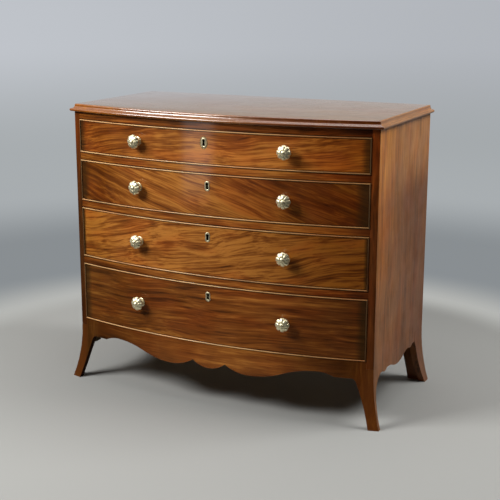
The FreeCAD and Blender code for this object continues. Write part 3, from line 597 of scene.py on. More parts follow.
def wood(name, dark, mid, light, lie=ALONG_X, start=(0.0, 0.0, 0.0), tilt=0.0, fades=(),
         rough=(0.3, 0.42), sheen=0.3, tint=WARM, coat=0.0, coat_rough=0.08, bump=0.00012,
         scale=(1.0, 1.0, 1.0), panel=None, boards=None, **figuring):
    """A wood finish: figure from the piece's own place, gloss from wear, pores in relief.

    What figuring says, such as streaks or mottle, goes to the figure's input of that name.
    Each painted light or shade is an axis, where it starts, where it is full, and its tint,
    and perhaps another axis that limits it. A panel's low and high edges, half width and
    shaded ends' reach put painted shade along its borders and at its two ends. Boards are
    their two outer edges and how many there are.
    """
    tree, surface, place = new_material(name)
    timber = place
    if boards:
        timber, cut, joint = board_by_board(tree, place, boards)
    turned = out(tree, "ShaderNodeMapping",
                 {"Vector": timber, "Location": start, "Scale": scale,
                  "Rotation": (lie[0], lie[1] + tilt, lie[2])})
    figure = use_group(tree, "Wood Figure", {
        "Vector": turned, "Dark": rgba(dark), "Mid": rgba(mid), "Light": rgba(light),
        **{title.capitalize(): value for title, value in figuring.items()}})
    wear = use_group(tree, "Surface Wear", {"Vector": place, "Rough Low": rough[0],
                                            "Rough High": rough[1]})
    shown = with_painted_shading(tree, place, figure["Color"], fades)
    if boards:
        shown = blend(tree, times(tree, cut, 0.5), shown, (0.6, 0.55, 0.5, 1.0), "MULTIPLY")
        shown = blend(tree, times(tree, joint, 0.85), shown, rgba(scaled(dark, 0.2)))
    # Painted shade in the gaps along the panel's borders and at its two ends
    if panel:
        shown = use_group(tree, "Painted Edge Shade", {
            "Vector": place, "Color": shown, "Gap Shade": rgba(scaled(dark, 0.3)),
            "Shade": rgba(colours().end_shade), "Low": panel[0], "High": panel[1],
            "Half": panel[2], "End Reach": panel[3]})["Color"]
    feed(tree, surface.inputs, {
        "Base Color": shown, "Roughness": wear["Roughness"],
        "Normal": relief(tree, figure["Height"], strength=0.5, distance=bump),
        "Specular IOR Level": sheen, "Specular Tint": tint, "Coat Weight": coat,
        "Coat Roughness": coat_rough})


def metal(name, rgb, tarnish, rough, scale=60.0, metallic=1.0):
    """Cast or worked metal: tarnish in patches, fine scratches in the gloss."""
    tree, surface, place = new_material(name)
    worked = use_group(tree, "Worked Metal", {
        "Vector": place, "Color": rgba(rgb), "Tarnished": rgba(scaled(rgb, 0.45)),
        "Tarnish": tarnish, "Scale": scale, "Rough Low": rough[0], "Rough High": rough[1]})
    feed(tree, surface.inputs, {
        "Base Color": worked["Color"], "Roughness": worked["Roughness"],
        "Normal": relief(tree, worked["Height"], strength=0.12, distance=0.0001),
        "Metallic": metallic})


# ---- geometry node tools

WHOLE = "NodeSocketInt"
SHAPE = "NodeSocketGeometry"


def geometry_group(name, inputs):
    """An empty tree from shape to shape, and the identifiers of its named inputs."""
    tree = bpy.data.node_groups.new(name, "GeometryNodeTree")
    tree.interface.new_socket("Geometry", socket_type=SHAPE)
    identifiers = {}
    for title, kind, *default in inputs:
        socket = tree.interface.new_socket(title, socket_type=kind)
        if default:
            socket.default_value = default[0]
        identifiers[title] = socket.identifier
    tree.interface.new_socket("Geometry", in_out="OUTPUT", socket_type=SHAPE)
    return (tree, tree.nodes.new("NodeGroupInput").outputs,
            tree.nodes.new("NodeGroupOutput").inputs, identifiers)


def repeat_round_axis():
    """Copies of a wedge about the z axis, joined into one skin: petals round a knob."""
    tree, given, result, names = geometry_group(
        "Repeat Round Axis",
        [("Count", WHOLE, 8), ("Weld", FLOAT, 0.00002), ("Finish", "NodeSocketMaterial")])
    points = out(tree, "GeometryNodePoints", {"Count": given["Count"]})
    index = out(tree, "GeometryNodeInputIndex")
    step = maths(tree, "DIVIDE", tau, given["Count"])
    turn = out(tree, "ShaderNodeCombineXYZ", {2: times(tree, index, step)})
    euler = out(tree, "FunctionNodeEulerToRotation", {0: turn})
    copies = out(tree, "GeometryNodeInstanceOnPoints",
                 {"Points": points, "Instance": given["Geometry"], "Rotation": euler})
    real = out(tree, "GeometryNodeRealizeInstances", {"Geometry": copies})
    joined = out(tree, "GeometryNodeMergeByDistance",
                 {"Geometry": real, "Distance": given["Weld"]})
    feed(tree, result, {"Geometry": out(tree, "GeometryNodeSetMaterial",
                                        {"Geometry": joined, "Material": given["Finish"]})})
    return tree, names


def set_on_points():
    """A small part set at each point of a mesh, facing the way that the point holds."""
    tree, given, result, names = geometry_group(
        "Set On Points",
        [("Part", "NodeSocketObject"), ("Scatter", FLOAT, 1.0), ("Seed", WHOLE, 3),
         ("Finish", "NodeSocketMaterial")])
    way = out(tree, "GeometryNodeInputNamedAttribute", {"Name": "way"},
              data_type="FLOAT_VECTOR")
    aimed = out(tree, "FunctionNodeAlignRotationToVector", {"Vector": way}, axis="Z")
    spin = put(tree, "FunctionNodeRandomValue", {2: 0.0, 3: pi, "Seed": given["Seed"]},
               data_type="FLOAT").outputs[1]
    spun = out(tree, "ShaderNodeCombineXYZ", {2: times(tree, spin, given["Scatter"])})
    local = out(tree, "FunctionNodeEulerToRotation", {0: spun})
    both = out(tree, "FunctionNodeRotateRotation", {0: aimed, 1: local}, rotation_space="LOCAL")
    part = put(tree, "GeometryNodeObjectInfo", {"Object": given["Part"]}).outputs["Geometry"]
    copies = out(tree, "GeometryNodeInstanceOnPoints",
                 {"Points": given["Geometry"], "Instance": part, "Rotation": both})
    real = out(tree, "GeometryNodeRealizeInstances", {"Geometry": copies})
    feed(tree, result, {"Geometry": out(tree, "GeometryNodeSetMaterial",
                                        {"Geometry": real, "Material": given["Finish"]})})
    return tree, names


def grown(name, bm, tool, values):
    """Runs a geometry tree on a mesh and gives back the plain mesh that it makes."""
    tree, names = tool
    seed_mesh = mesh_of(name + "_seed", bm)
    seed = add_object(name + "_seed", seed_mesh)
    modifier = seed.modifiers.new("Grow", "NODES")
    modifier.node_group = tree
    for title, value in values.items():
        modifier[names[title]] = value
    depsgraph = bpy.context.evaluated_depsgraph_get()
    mesh = bpy.data.meshes.new_from_object(seed.evaluated_get(depsgraph))
    seed.modifiers.remove(modifier)
    bpy.data.objects.remove(seed)
    bpy.data.meshes.remove(seed_mesh)
    return mesh


# ---- the woods of this chest


def front_wood(name, **changes):
    tone = colours()
    wood(name, tone.front_dark, tone.front_mid, tone.front_light,
         **{"stretch": 0.055, "narrow": 0.95, "fine": 0.8, "coat": 0.6,
            "coat_rough": 0.07, "scale": ROUND_THE_BOW, **changes})


def panel_of(drawer, end_reach):
    """The veneer that shows inside a drawer's beads, and how far its ends are shaded."""
    low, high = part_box(drawer + "_cockbead")
    width = sizes().bead_width
    return low.z + width, high.z - width, high.x - width, end_reach


def base_wood():
    """One finish for the foot of the case: grain level in the middle, upright in the feet."""
    tone = colours()
    tree, surface, place = new_material("Base mahogany")
    across = maths(tree, "ABSOLUTE", split_xyz(tree, place)["X"])
    lying, standing = (
        use_group(tree, "Wood Figure", {
            "Vector": out(tree, "ShaderNodeMapping", {"Vector": place, **laid}),
            "Dark": rgba(tone.front_dark), "Mid": rgba(tone.front_mid),
            "Light": rgba(tone.front_light), "Streaks": 26.0, "Mottle": 0.2, "Sway": 0.03,
            "Narrow": 0.45, "Fine": 0.4, "Blush": 0.3, "Bias": bias})
        for laid, bias in (({"Location": (1.1, 0.7, 0.4), "Scale": ROUND_THE_BOW}, -0.03),
                           ({"Location": (0.7, 0.1, 0.5), "Rotation": ALONG_Z}, 0.02)))
    shown = blend(tree, ramped(tree, across, 0.395, 0.445), lying["Color"], standing["Color"])
    # Painted shade: the base darkens towards both ends, and more at the left foot's corner.
    shown = with_painted_shading(tree, place, shown, (("X", 0.05, 0.4, (0.42, 0.4, 0.3)),
                                       ("X", -0.05, -0.44, (0.36, 0.38, 0.34)),
                                       ("X", -0.43, -0.46, (0.6, 0.7, 0.64))))
    corner = times(tree, ramped(tree, across, 0.445, 0.468), 0.6)
    wear = use_group(tree, "Surface Wear", {"Vector": place, "Rough Low": 0.3,
                                            "Rough High": 0.42})
    feed(tree, surface.inputs, {
        "Base Color": blend(tree, corner, shown, rgba(scaled(tone.stile, 0.8))),
        "Roughness": wear["Roughness"],
        "Normal": relief(tree, standing["Height"], strength=0.4, distance=0.0001),
        "Specular IOR Level": 0.22, "Specular Tint": WARM, "Coat Weight": 0.12,
        "Coat Roughness": 0.12})


def three_tones(rgb, dark, light):
    """A timber's dark figure, ground and light figure as shares of one colour."""
    return scaled(rgb, dark), rgb, scaled(rgb, light)


def make_veneers():
    """The figured fronts and the rails between them."""
    # Each front's tints along x are painted light and shade: darker towards the ends, where the bow
    # turns from the light, and on the top drawer lighter right of the middle.
    front_wood("Veneer top drawer", start=(0.31, 0.0, 0.52), tilt=0.08, mottle=0.3,
               streaks=20.0, sway=0.06, bias=0.05, narrow=0.75,
               panel=panel_of("top_drawer", 0.024),
               fades=(("X", -0.12, 0.1, (1.18, 1.2, 1.25)), ("X", 0.15, 0.42, (0.75, 0.56, 0.26)),
                      ("X", -0.15, -0.38, (0.68, 0.56, 0.4))))
    front_wood("Veneer second drawer", start=(1.7, 0.3, 0.21), tilt=-0.3, mottle=0.15,
               streaks=17.0, sway=0.07, bias=0.05, narrow=0.85, fine=0.65,
               panel=panel_of("second_drawer", 0.04),
               fades=(("X", -0.1, 0.42, (0.48, 0.36, 0.16)),
                      ("X", -0.22, -0.4, (0.52, 0.44, 0.25))))
    front_wood("Veneer third drawer", start=(2.9, 0.1, 0.77), tilt=0.17, mottle=0.15,
               streaks=24.0, sway=0.09, bias=0.13, narrow=1.0,
               panel=panel_of("third_drawer", 0.012),
               fades=(("X", 0.0, 0.42, (0.58, 0.48, 0.25)), ("X", -0.28, -0.42, (0.82, 0.8, 0.6))))
    front_wood("Veneer bottom drawer", start=(4.2, 0.6, 0.13), tilt=0.03, mottle=0.1,
               streaks=26.0, sway=0.05, bias=-0.03, narrow=0.75, fine=0.55,
               panel=panel_of("bottom_drawer", 0.03),
               fades=(("X", 0.1, 0.42, (0.55, 0.5, 0.4)), ("X", 0.05, -0.15, (0.82, 0.84, 0.84)),
                      ("X", -0.15, -0.35, (0.78, 0.82, 0.72))))
    # The rails' tints along x are painted shade towards both ends, and the top rail's bias of -0.07
    # is the painted shadow under the top's overhang.
    for rail, start_x, bias in zip(RAILS, (1.5, 0.5, 2.1, 3.4), (-0.07, 0.05, 0.03, -0.02)):
        low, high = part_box(rail)
        front_wood("Veneer " + rail, start=(start_x, 0.2, 0.9), streaks=40.0, mottle=0.15,
                   sway=0.02, narrow=0.7, bias=bias, panel=(low.z, high.z, HALF_WIDTH, 0.01),
                   fades=(("X", 0.1, 0.42, (0.72, 0.52, 0.32)),
                          ("X", 0.36, 0.46, (0.6, 0.55, 0.5)),
                          ("X", -0.2, -0.42, (0.65, 0.6, 0.45))))


def make_case_woods():
    """The solid mahogany of the case, the beads and the feet."""
    tone = colours()
    dark, mid, light = tone.front_dark, tone.front_mid, tone.front_light
    base_wood()
    # Painted light and shade on the stiles: lighter high up, darker low down, and the left stile
    # darker.
    wood("Stile mahogany", *three_tones(tone.stile, 0.35, 2.0), lie=ALONG_Z,
         start=(0.0, 0.3, 0.2), streaks=34.0, mottle=0.3, coat=0.3, coat_rough=0.12,
         fades=(("Z", 0.45, 0.75, (1.4, 1.15, 0.8)), ("Z", 0.45, 0.25, (0.8, 0.75, 0.6)),
                ("X", -0.4, -0.45, (0.42, 0.5, 0.6))))
    # Painted light and shade on the sides: darker below the top, a bluish painted reflection low
    # down, a painted lighter band along the front edge in the upper half, and painted shade further
    # back low down.
    wood("Side mahogany", *three_tones(tone.side, 0.5, 1.4), lie=ALONG_Z,
         start=(0.4, 0.0, 0.0), streaks=14.0, stretch=0.07, mottle=0.35, narrow=0.8, fine=0.6,
         blush=0.3, pores=0.2, sway=0.04, rough=(0.45, 0.58), sheen=0.25,
         fades=(("Z", 0.72, 0.6, (0.68, 0.62, 0.6)), ("Z", 0.5, 0.34, (1.14, 1.22, 1.5)),
                ("Y", -0.02, -0.16, (1.6, 1.45, 0.9), ("Z", 0.25, 0.5)),
                ("Y", -0.06, 0.1, (0.72, 0.7, 0.78), ("Z", 0.74, 0.6))))
    wood("Return moulding", scaled(tone.side, 0.4), scaled(tone.side, 0.75), tone.side,
         lie=ALONG_Y, start=(0.4, 0.0, 0.0), streaks=30.0, mottle=0.2, narrow=0.4,
         blush=0.2, rough=(0.4, 0.5), sheen=0.4, coat=0.2, coat_rough=0.2)
    wood("Top mahogany", *three_tones(tone.top, 0.6, 1.4), start=(0.2, 0.1, 0.0),
         streaks=16.0, mottle=0.25, narrow=0.6, fine=0.6, stretch=0.06, sheen=0.5, coat=1.0,
         coat_rough=0.1)
    # Painted light and shade on the moulding: lighter towards the left, darker towards the right.
    wood("Moulding mahogany", dark, scaled(mid, 0.75), scaled(light, 0.6),
         start=(0.9, 0.2, 0.0), streaks=30.0, mottle=0.2, narrow=0.4, blush=0.1, bias=0.02,
         fades=(("X", 0.0, 0.4, (0.55, 0.4, 0.2)), ("X", -0.2, -0.4, (1.5, 1.5, 1.0))),
         sheen=0.6, tint=(1.0, 0.92, 0.84, 1.0), rough=(0.2, 0.3), coat=0.8, coat_rough=0.04)
    # The cross beads' pale colour is a painted highlight, darkened towards the right with painted
    # shade; the upright end beads are painted darker, without it.
    wood("Bead mahogany with painted highlight", *three_tones(tone.bead, 0.45, 1.25), start=(0.0, 0.2, 0.3),
         streaks=14.0, mottle=0.4, coat=0.25, coat_rough=0.15,
         fades=(("X", 0.0, 0.45, (0.6, 0.5, 0.4)),))
    wood("End bead mahogany in painted shade", dark, scaled(tone.bead, 0.2), scaled(tone.bead, 0.35),
         lie=ALONG_Z, streaks=14.0, mottle=0.4, coat=0.1, coat_rough=0.2)
    wood("Strip mahogany", scaled(dark, 0.7), scaled(mid, 0.8), mid,
         start=(0.7, 0.4, 0.5), streaks=26.0, mottle=0.2, coat=0.2, coat_rough=0.15)
    wood("Foot mahogany", scaled(dark, 0.6), scaled(mid, 0.7), mid, lie=ALONG_Z,
         start=(0.7, 0.1, 0.5), streaks=26.0, mottle=0.3, narrow=0.4, bias=-0.05, coat=0.2,
         coat_rough=0.15)
    # The front feet's inner and back faces are painted dark as painted shade.
    wood("Foot inside in painted shade", scaled(dark, 0.2), scaled(dark, 0.35), scaled(dark, 0.6), lie=ALONG_Z,
         rough=(0.7, 0.85), sheen=0.1)


def make_rough_woods():
    """The dry timber that nobody polished, the glue blocks in painted shade, and the painted shade
    inside a keyhole.
    """
    tone = colours()
    pine_low, pine_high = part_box("back_boards")
    # The glue blocks are painted nearly black, as painted shade.
    wood("Block pine in painted shade", scaled(tone.pine, 0.1), scaled(tone.pine, 0.18), scaled(tone.pine, 0.25),
         lie=ALONG_Z, streaks=24.0, mottle=0.2, rough=(0.7, 0.9), sheen=0.1)
    for name, lie in (("Oak linings", ALONG_X), ("Oak sides", ALONG_Y)):
        wood(name, *three_tones(tone.oak, 0.6, 1.25), lie=lie, streaks=36.0, mottle=0.15,
             blush=0.08, rough=(0.6, 0.8), bump=0.0003)
    for name, lie, boards in (("Pine boards", ALONG_Z, (pine_low.x, pine_high.x, BACK_BOARDS)),
                              ("Pine flat", ALONG_X, None)):
        wood(name, *three_tones(tone.pine, 0.55, 1.3), lie=lie, streaks=24.0, mottle=0.2,
             blush=0.1, rough=(0.7, 0.9), bump=0.0003, boards=boards)
    # Painted shade for the inside of a keyhole
    wood("Keyhole painted shade", (0.004, 0.003, 0.002), (0.006, 0.004, 0.003), (0.009, 0.006, 0.004),
         rough=(0.8, 0.9), sheen=0.1)


def make_metals():
    tone = colours()
    metal("Knob brass", tone.brass, 0.35, (0.26, 0.4), scale=110.0, metallic=0.74)
    metal("Plate brass", scaled(tone.brass, 0.85), 0.3, (0.36, 0.48), metallic=0.95)
    metal("Oval plate", scaled(tone.old_brass, 0.75), 0.4, (0.2, 0.3))
    metal("Lock brass", tone.old_brass, 0.6, (0.3, 0.45))
    metal("Bolt steel", tone.steel, 0.5, (0.3, 0.45))


def finish(name):
    return bpy.data.materials[name]


# ---- operators: case


class CHEST_OT_finishes(bpy.types.Operator):
    """Make the woods and metals of the chest"""

    bl_idname = "chest.finishes"
    bl_label = "Finishes"

    def execute(self, context):
        for make in (wood_figure_group, painted_edge_shade_group, painted_shading_group, surface_wear_group,
                     worked_metal_group, make_veneers, make_case_woods, make_rough_woods,
                     make_metals):
            make()
        return {"FINISHED"}


CASE_WOODS = {
    "Side mahogany": ("side_left", "side_right", "apron_left", "apron_right"),
    "Stile mahogany": ("stile_left", "stile_right"),
    **{"Veneer " + rail: (rail,) for rail in RAILS},
    "Base mahogany": ("bottom_rail", "apron_front", "foot_front_left", "foot_front_right"),
    "Foot mahogany": ("foot_back_left", "foot_back_right"),
}
CRISP_EDGED = {"bottom_rail", "apron_front", "foot_back_left", "foot_back_right"}
INNER_WOODS = {
    "bottom_board": "Pine flat", "dust_boards": "Pine flat",
    "runners_and_kickers": "Oak sides", "drawer_stops": "Oak linings",
    "glue_blocks": "Block pine in painted shade",
}
# how far a face's normal points sideways, inwards or up before the face counts as such
SIDEWAYS = 0.7
INWARDS = 0.25
UPWARDS = 0.97
BACK_FACE = 1e-5


class CHEST_OT_case(bpy.types.Operator):
    """Finish the case: sides, stiles, rails, aprons, feet and the rough work inside"""

    bl_idname = "chest.case"
    bl_label = "Case"

    def execute(self, context):
        woods = [(node, finish(name)) for name, nodes in CASE_WOODS.items() for node in nodes]
        for node, timber in woods:
            piece = worked_copy(node, timber, ease=node not in CRISP_EDGED)
            if node.startswith(("stile_", "foot_")):
                outward = 1 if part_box(node)[1].x > 0 else -1
                second_finish(piece, finish("Side mahogany"),
                              lambda face: face.normal.x * outward > SIDEWAYS)
            # The inner and back faces of the front feet get painted shade.
            if node.startswith("foot_front"):
                second_finish(piece, finish("Foot inside in painted shade"),
                              lambda face: face.normal.x * outward < -INWARDS
                              or face.normal.y > INWARDS)
        for node, wood_name in INNER_WOODS.items():
            finish_node(node, finish(wood_name))
        back = worked_copy("back_boards", finish("Pine boards"))
        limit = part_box("back_boards")[1].y - BACK_FACE
        for vertex in back.data.vertices:
            if vertex.co.y > limit:
                vertex.co.y -= sizes().back_shrinkage
        return {"FINISHED"}


SHOULDER_ROUND = 0.9
# the return moulding starts this far inside the case's side, and this far before its corner
RETURN_INSIDE = 0.004
RETURN_BEFORE = 0.005


def top_profile():
    """The moulded edge from the top face down: (distance in from the nose, height)."""
    size = sizes()
    nose = size.nose_height / 2
    run = nose + size.hollow_run
    z0 = TOP_LOW.z
    z1 = TOP_HIGH.z
    hollow_top = z1 - size.shoulder
    hollow_drop = hollow_top - (z0 + size.nose_height)
    radius = size.shoulder * SHOULDER_ROUND
    profile = [(run + radius * (1 - sin(turn)), z1 - radius * (1 - cos(turn)))
               for turn in spread(0.0, pi / 2, SHOULDER_STEPS)]
    profile.append((run, hollow_top))
    profile += [(run - size.hollow_run * (1 - cos(turn)),
                 hollow_top - hollow_drop * sin(turn))
                for turn in spread(0.0, pi / 2, HOLLOW_STEPS)[1:]]
    profile += [(nose - nose * sin(turn), z0 + nose + nose * cos(turn))
                for turn in spread(0.0, pi, NOSE_STEPS)[1:]]
    return profile


def top_outline(inward, z):
    """The top's plan at that distance in from its nose."""
    overhang = TOP_HIGH.x - HALF_WIDTH - inward
    half = TOP_HIGH.x - inward
    return ([(-half, TOP_HIGH.y, z)]
            + [(x, bow_y(x, overhang), z) for x in spread(-half, half, TOP_STEPS)]
            + [(half, TOP_HIGH.y, z)])


class CHEST_OT_top(bpy.types.Operator):
    """Work the top board's rounded shoulder, hollow and half-round nose"""

    bl_idname = "chest.top"
    bl_label = "Moulded top"

    def execute(self, context):
        bm = bmesh.new()
        capped_stack(bm, [top_outline(inward, z) for inward, z in top_profile()])
        piece = piece_for("top_board", bm, finish("Top mahogany"), crease=30)
        second_finish(piece, finish("Moulding mahogany"), lambda face: face.normal.z < UPWARDS)
        beside = HALF_WIDTH - RETURN_INSIDE
        behind = bow_y(HALF_WIDTH) - RETURN_BEFORE
        second_finish(piece, finish("Return moulding"),
                      lambda face: face.normal.z < UPWARDS and abs(face.center.x) > beside
                      and face.center.y > behind)
        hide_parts("top_board")
        return {"FINISHED"}


# ---- operators: drawers

VENEER = 0.001
# the y of a face's normal up to which it looks out of the front, and past which backwards
FORWARDS = -0.6
BACKWARDS = 0.9


def behind_veneer(face):
    """True for the core of a drawer front: its edges, back and holes."""
    return face.normal.y > FORWARDS or face.center.y > bow_y(face.center.x) + VENEER


class CHEST_OT_drawers(bpy.types.Operator):
    """Finish the drawer fronts, their linings and locks"""

    bl_idname = "chest.drawers"
    bl_label = "Drawers"

    def execute(self, context):
        for drawer in DRAWERS:
            veneer = "Veneer " + drawer.replace("_", " ")
            front = worked_copy(drawer + "_front", finish(veneer), ease=False)
            second_finish(front, finish("Oak linings"), behind_veneer)
            for part, look in (("_lock", "Lock brass"), ("_sides", "Oak sides"),
                               ("_back", "Oak linings"), ("_bottom", "Oak sides"),
                               ("_lock_bolt", "Bolt steel")):
                finish_node(drawer + part, finish(look))
            low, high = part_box(drawer + "_escutcheon")
            # The inside of each keyhole, in the front and in the lock, gets painted shade.
            for piece in (front, NODES[drawer + "_lock"]):
                second_finish(piece, finish("Keyhole painted shade"),
                              lambda face: behind_veneer(face) and face.normal.y < BACKWARDS
                              and low.x < face.center.x < high.x
                              and low.z < face.center.z < high.z)
        return {"FINISHED"}


def bead_ring(z0, z1, inward, stand):
    """The front's outline on the bow at that distance in and that far proud."""
    half = BEAD_HALF - inward
    return ([(x, bow_y(x, stand), z0 + inward) for x in spread(-half, half, BOW_STEPS)]
            + [(x, bow_y(x, stand), z1 - inward) for x in spread(half, -half, BOW_STEPS)])


def bead_profile():
    """Half-round nose between straight cheeks: (inward, stand), closed at the back."""
    size = sizes()
    nose = size.bead_width / 2
    shoulder = size.bead_proud - nose
    return ([(0.0, -size.bead_depth)]
            + [(nose + nose * cos(turn), shoulder + nose * sin(turn))
               for turn in spread(pi, 0.0, BEAD_STEPS)]
            + [(size.bead_width, -size.bead_depth)])


def cover_strip(bm, z0, z1, notch=None):
    """The strip behind a bead, as deep as the front, notched for the lock if it has one."""
    size = sizes()
    plan = [(x, bow_y(x, -size.bead_depth)) for x in spread(-BEAD_HALF, BEAD_HALF, BOW_STEPS)]
    back = [(x, bow_y(x, -size.front_thickness))
            for x in spread(BEAD_HALF, -BEAD_HALF, BOW_STEPS)]
    if notch:
        low, high = notch
        cut = [(high.x, bow_y(high.x, -size.front_thickness)), (high.x, low.y),
               (low.x, low.y), (low.x, bow_y(low.x, -size.front_thickness))]
        back = ([point for point in back if point[0] > high.x] + cut
                + [point for point in back if point[0] < low.x])
    capped_stack(bm, [[(x, y, z) for x, y in plan + back] for z in (z0, z1)])


class CHEST_OT_cockbeads(bpy.types.Operator):
    """Lay the rounded cockbead round each drawer front"""

    bl_idname = "chest.cockbeads"
    bl_label = "Cockbeads"

    def execute(self, context):
        width = sizes().bead_width
        inside_ends = BEAD_HALF - width * 1.01
        for drawer in DRAWERS:
            node = drawer + "_cockbead"
            low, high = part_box(node)
            bm = bmesh.new()
            ring_stack(bm, [bead_ring(low.z, high.z, d, s) for d, s in bead_profile()])
            cover_strip(bm, low.z, low.z + width)
            cover_strip(bm, high.z - width, high.z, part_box(drawer + "_lock"))
            piece = piece_for(node, bm, finish("Bead mahogany with painted highlight"), crease=40)
            # The upright end beads get the darker finish: painted shade beside the cross beads'
            # painted highlight.
            second_finish(piece, finish("End bead mahogany in painted shade"),
                          lambda face: abs(face.center.x) > inside_ends)
            second_finish(piece, finish("Strip mahogany"),
                          lambda face: face.center.y > bow_y(face.center.x) + VENEER / 2)
            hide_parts(node)
        return {"FINISHED"}


# ---- operators: brasses

PETAL_COLUMNS = 11
# between two petals: how much deeper than the profile says, how narrow, how far it sinks
GROOVE_DEEPENED = 1.4
GROOVE_NARROWED = 3.5
GROOVE_SUNK = 0.4
# radius as a share of the rim, height as a share of the reach, depth of the groove
KNOB_PROFILE = (
    (0.0, 0.0, 0.0), (0.63, 0.0, 0.0), (0.635, 0.018, 0.0), (0.61, 0.042, 0.0),
    (0.55, 0.05, 0.0), (0.36, 0.058, 0.0), (0.30, 0.075, 0.0), (0.268, 0.12, 0.0),
    (0.262, 0.20, 0.0), (0.275, 0.28, 0.0), (0.33, 0.36, 0.0), (0.47, 0.42, 0.01),
    (0.68, 0.465, 0.03), (0.86, 0.51, 0.055), (0.965, 0.555, 0.075), (1.0, 0.60, 0.085),
    (0.99, 0.645, 0.085), (0.95, 0.695, 0.08), (0.88, 0.745, 0.075), (0.78, 0.795, 0.065),
    (0.66, 0.84, 0.055), (0.53, 0.875, 0.045), (0.41, 0.895, 0.03), (0.345, 0.895, 0.012),
    (0.325, 0.885, 0.0), (0.305, 0.895, 0.0), (0.285, 0.93, 0.0), (0.24, 0.965, 0.0),
    (0.16, 0.99, 0.0), (0.08, 0.999, 0.0), (0.0, 1.0, 0.0),
)
WIDEST_AT = 0.6


def petal_wedge():
    """One petal's slice of a knob, from the rose on the wood to the tip of the boss."""
    size = sizes()
    rim = size.knob_radius
    half_turn = pi / size.petals
    bm = bmesh.new()
    rows = []
    for across, up, groove in KNOB_PROFILE:
        height = up * size.knob_reach
        if across == 0.0:
            rows.append([bm.verts.new((0.0, 0.0, height))])
            continue
        row = []
        for turn in spread(-half_turn, half_turn, PETAL_COLUMNS):
            dip = groove * GROOVE_DEEPENED * (abs(turn) / half_turn) ** GROOVE_NARROWED
            radius = across * rim * (1.0 - dip)
            sink = dip * GROOVE_SUNK * rim if up > WIDEST_AT else 0.0
            row.append(bm.verts.new((radius * cos(turn), radius * sin(turn), height - sink)))
        rows.append(row)
    for lower, upper in zip(rows, rows[1:]):
        for index in range(PETAL_COLUMNS - 1):
            if len(lower) == 1:
                bm.faces.new((lower[0], upper[index + 1], upper[index]))
            elif len(upper) == 1:
                bm.faces.new((lower[index], lower[index + 1], upper[0]))
            else:
                bm.faces.new((lower[index], lower[index + 1], upper[index + 1], upper[index]))
    return bm


class CHEST_OT_knobs(bpy.types.Operator):
    """Cast the flower-headed knobs, petal by petal"""

    bl_idname = "chest.knobs"
    bl_label = "Knobs"

    def execute(self, context):
        brass = finish("Knob brass")
        upright = grown("knob", petal_wedge(), repeat_round_axis(),
                        {"Count": sizes().petals, "Finish": brass})
        for drawer in DRAWERS:
            node = drawer + "_knobs"
            low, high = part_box(node)
            bm = bmesh.new()
            for x in (-sizes().knob_offset, sizes().knob_offset):
                before = len(bm.verts)
                bm.from_mesh(upright)
                bm.verts.ensure_lookup_table()
                bmesh.ops.transform(bm, matrix=on_front(x, (low.z + high.z) / 2),
                                    verts=bm.verts[before:])
            piece = piece_for(node, bm, brass, crease=50)
            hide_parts(node)
        bpy.data.meshes.remove(upright)
        return {"FINISHED"}


# a cross product that counts as parallel, and how far past an edge's end still counts
PARALLEL = 1e-12
END_SLACK = 1e-9


def reach_to_edge(outline, turn):
    """Distance from the origin to a closed outline, looking along that turn."""
    aim = Vector((cos(turn), sin(turn)))
    for begin, end in zip(outline, outline[1:] + outline[:1]):
        a = Vector(begin)
        side = Vector(end) - a
        cross = aim.x * side.y - aim.y * side.x
        if abs(cross) < PARALLEL:
            continue
        distance = (a.x * side.y - a.y * side.x) / cross
        along = (a.x * aim.y - a.y * aim.x) / cross
        if distance > 0 and -END_SLACK <= along <= 1 + END_SLACK:
            return distance
    raise RuntimeError("the outline doesn't go round the origin")


def arc(radius, height, turns):
    """Points round a centre at that height above the origin."""
    return [(radius * cos(turn), height + radius * sin(turn)) for turn in turns]


def keyhole_outline():
    """Round head, narrow waist and wider foot, about the middle of the hole."""
    head, waist, foot, half = 0.0041, 0.0027, 0.0037, 0.0092
    sole = foot * 0.7
    start = asin(waist / head)
    points = [(-head * sin(turn), half - head - head * cos(turn))
              for turn in spread(start, tau - start, KEYHOLE_HEAD_STEPS)]
    points.append((foot, sole - half))
    for turn in spread(0.0, pi, KEYHOLE_FOOT_STEPS)[1:-1]:
        points.append((foot * cos(turn), sole * (1 - sin(turn)) - half))
    points.append((-foot, sole - half))
    return points


def surround_outline():
    """Two round ends and a slightly narrower waist."""
    size = sizes()
    radius = size.rim_width / 2
    end_z = size.rim_height / 2 - radius
    past_half = 0.2
    return (arc(radius, end_z, spread(-past_half, pi + past_half, RIM_END_STEPS))
            + [(-size.rim_waist / 2, 0.0)]
            + arc(radius, -end_z, spread(pi - past_half, tau + past_half, RIM_END_STEPS))
            + [(size.rim_waist / 2, 0.0)])


# share of the way from the outer edge to the hole, and height as a share of the stand
RIM_DOME = ((0.0, 0.4), (0.08, 0.85), (0.2, 1.05), (0.5, 1.12), (0.8, 1.05), (0.94, 0.8),
            (1.0, 0.3))
# how far each brass stands, as a share of the setting, and how deep it is let into the wood
RIM_STANDS = 0.88
RIM_LET_IN = 0.002
PLATE_STANDS = 0.2
PLATE_LET_IN = 0.0006
# a box this much wider than the surround holds a plate as well
PLATE_WIDER = 1.2


def surround(bm, place, outer, inner, stand, depth):
    """A domed ring of brass between two outlines, let into the wood."""
    turns = [tau * index / RIM_STEPS for index in range(RIM_STEPS)]
    edges = [(turn, reach_to_edge(outer, turn), reach_to_edge(inner, turn)) for turn in turns]
    section = [(0.0, -depth)] + [(part, stand * share_up) for part, share_up in RIM_DOME]
    loops = []
    for part, height in section + [(1.0, -depth)]:
        loop = []
        for turn, far, near in edges:
            radius = far + (near - far) * part
            loop.append(place @ Vector((radius * cos(turn), radius * sin(turn), height)))
        loops.append(loop)
    ring_stack(bm, loops)


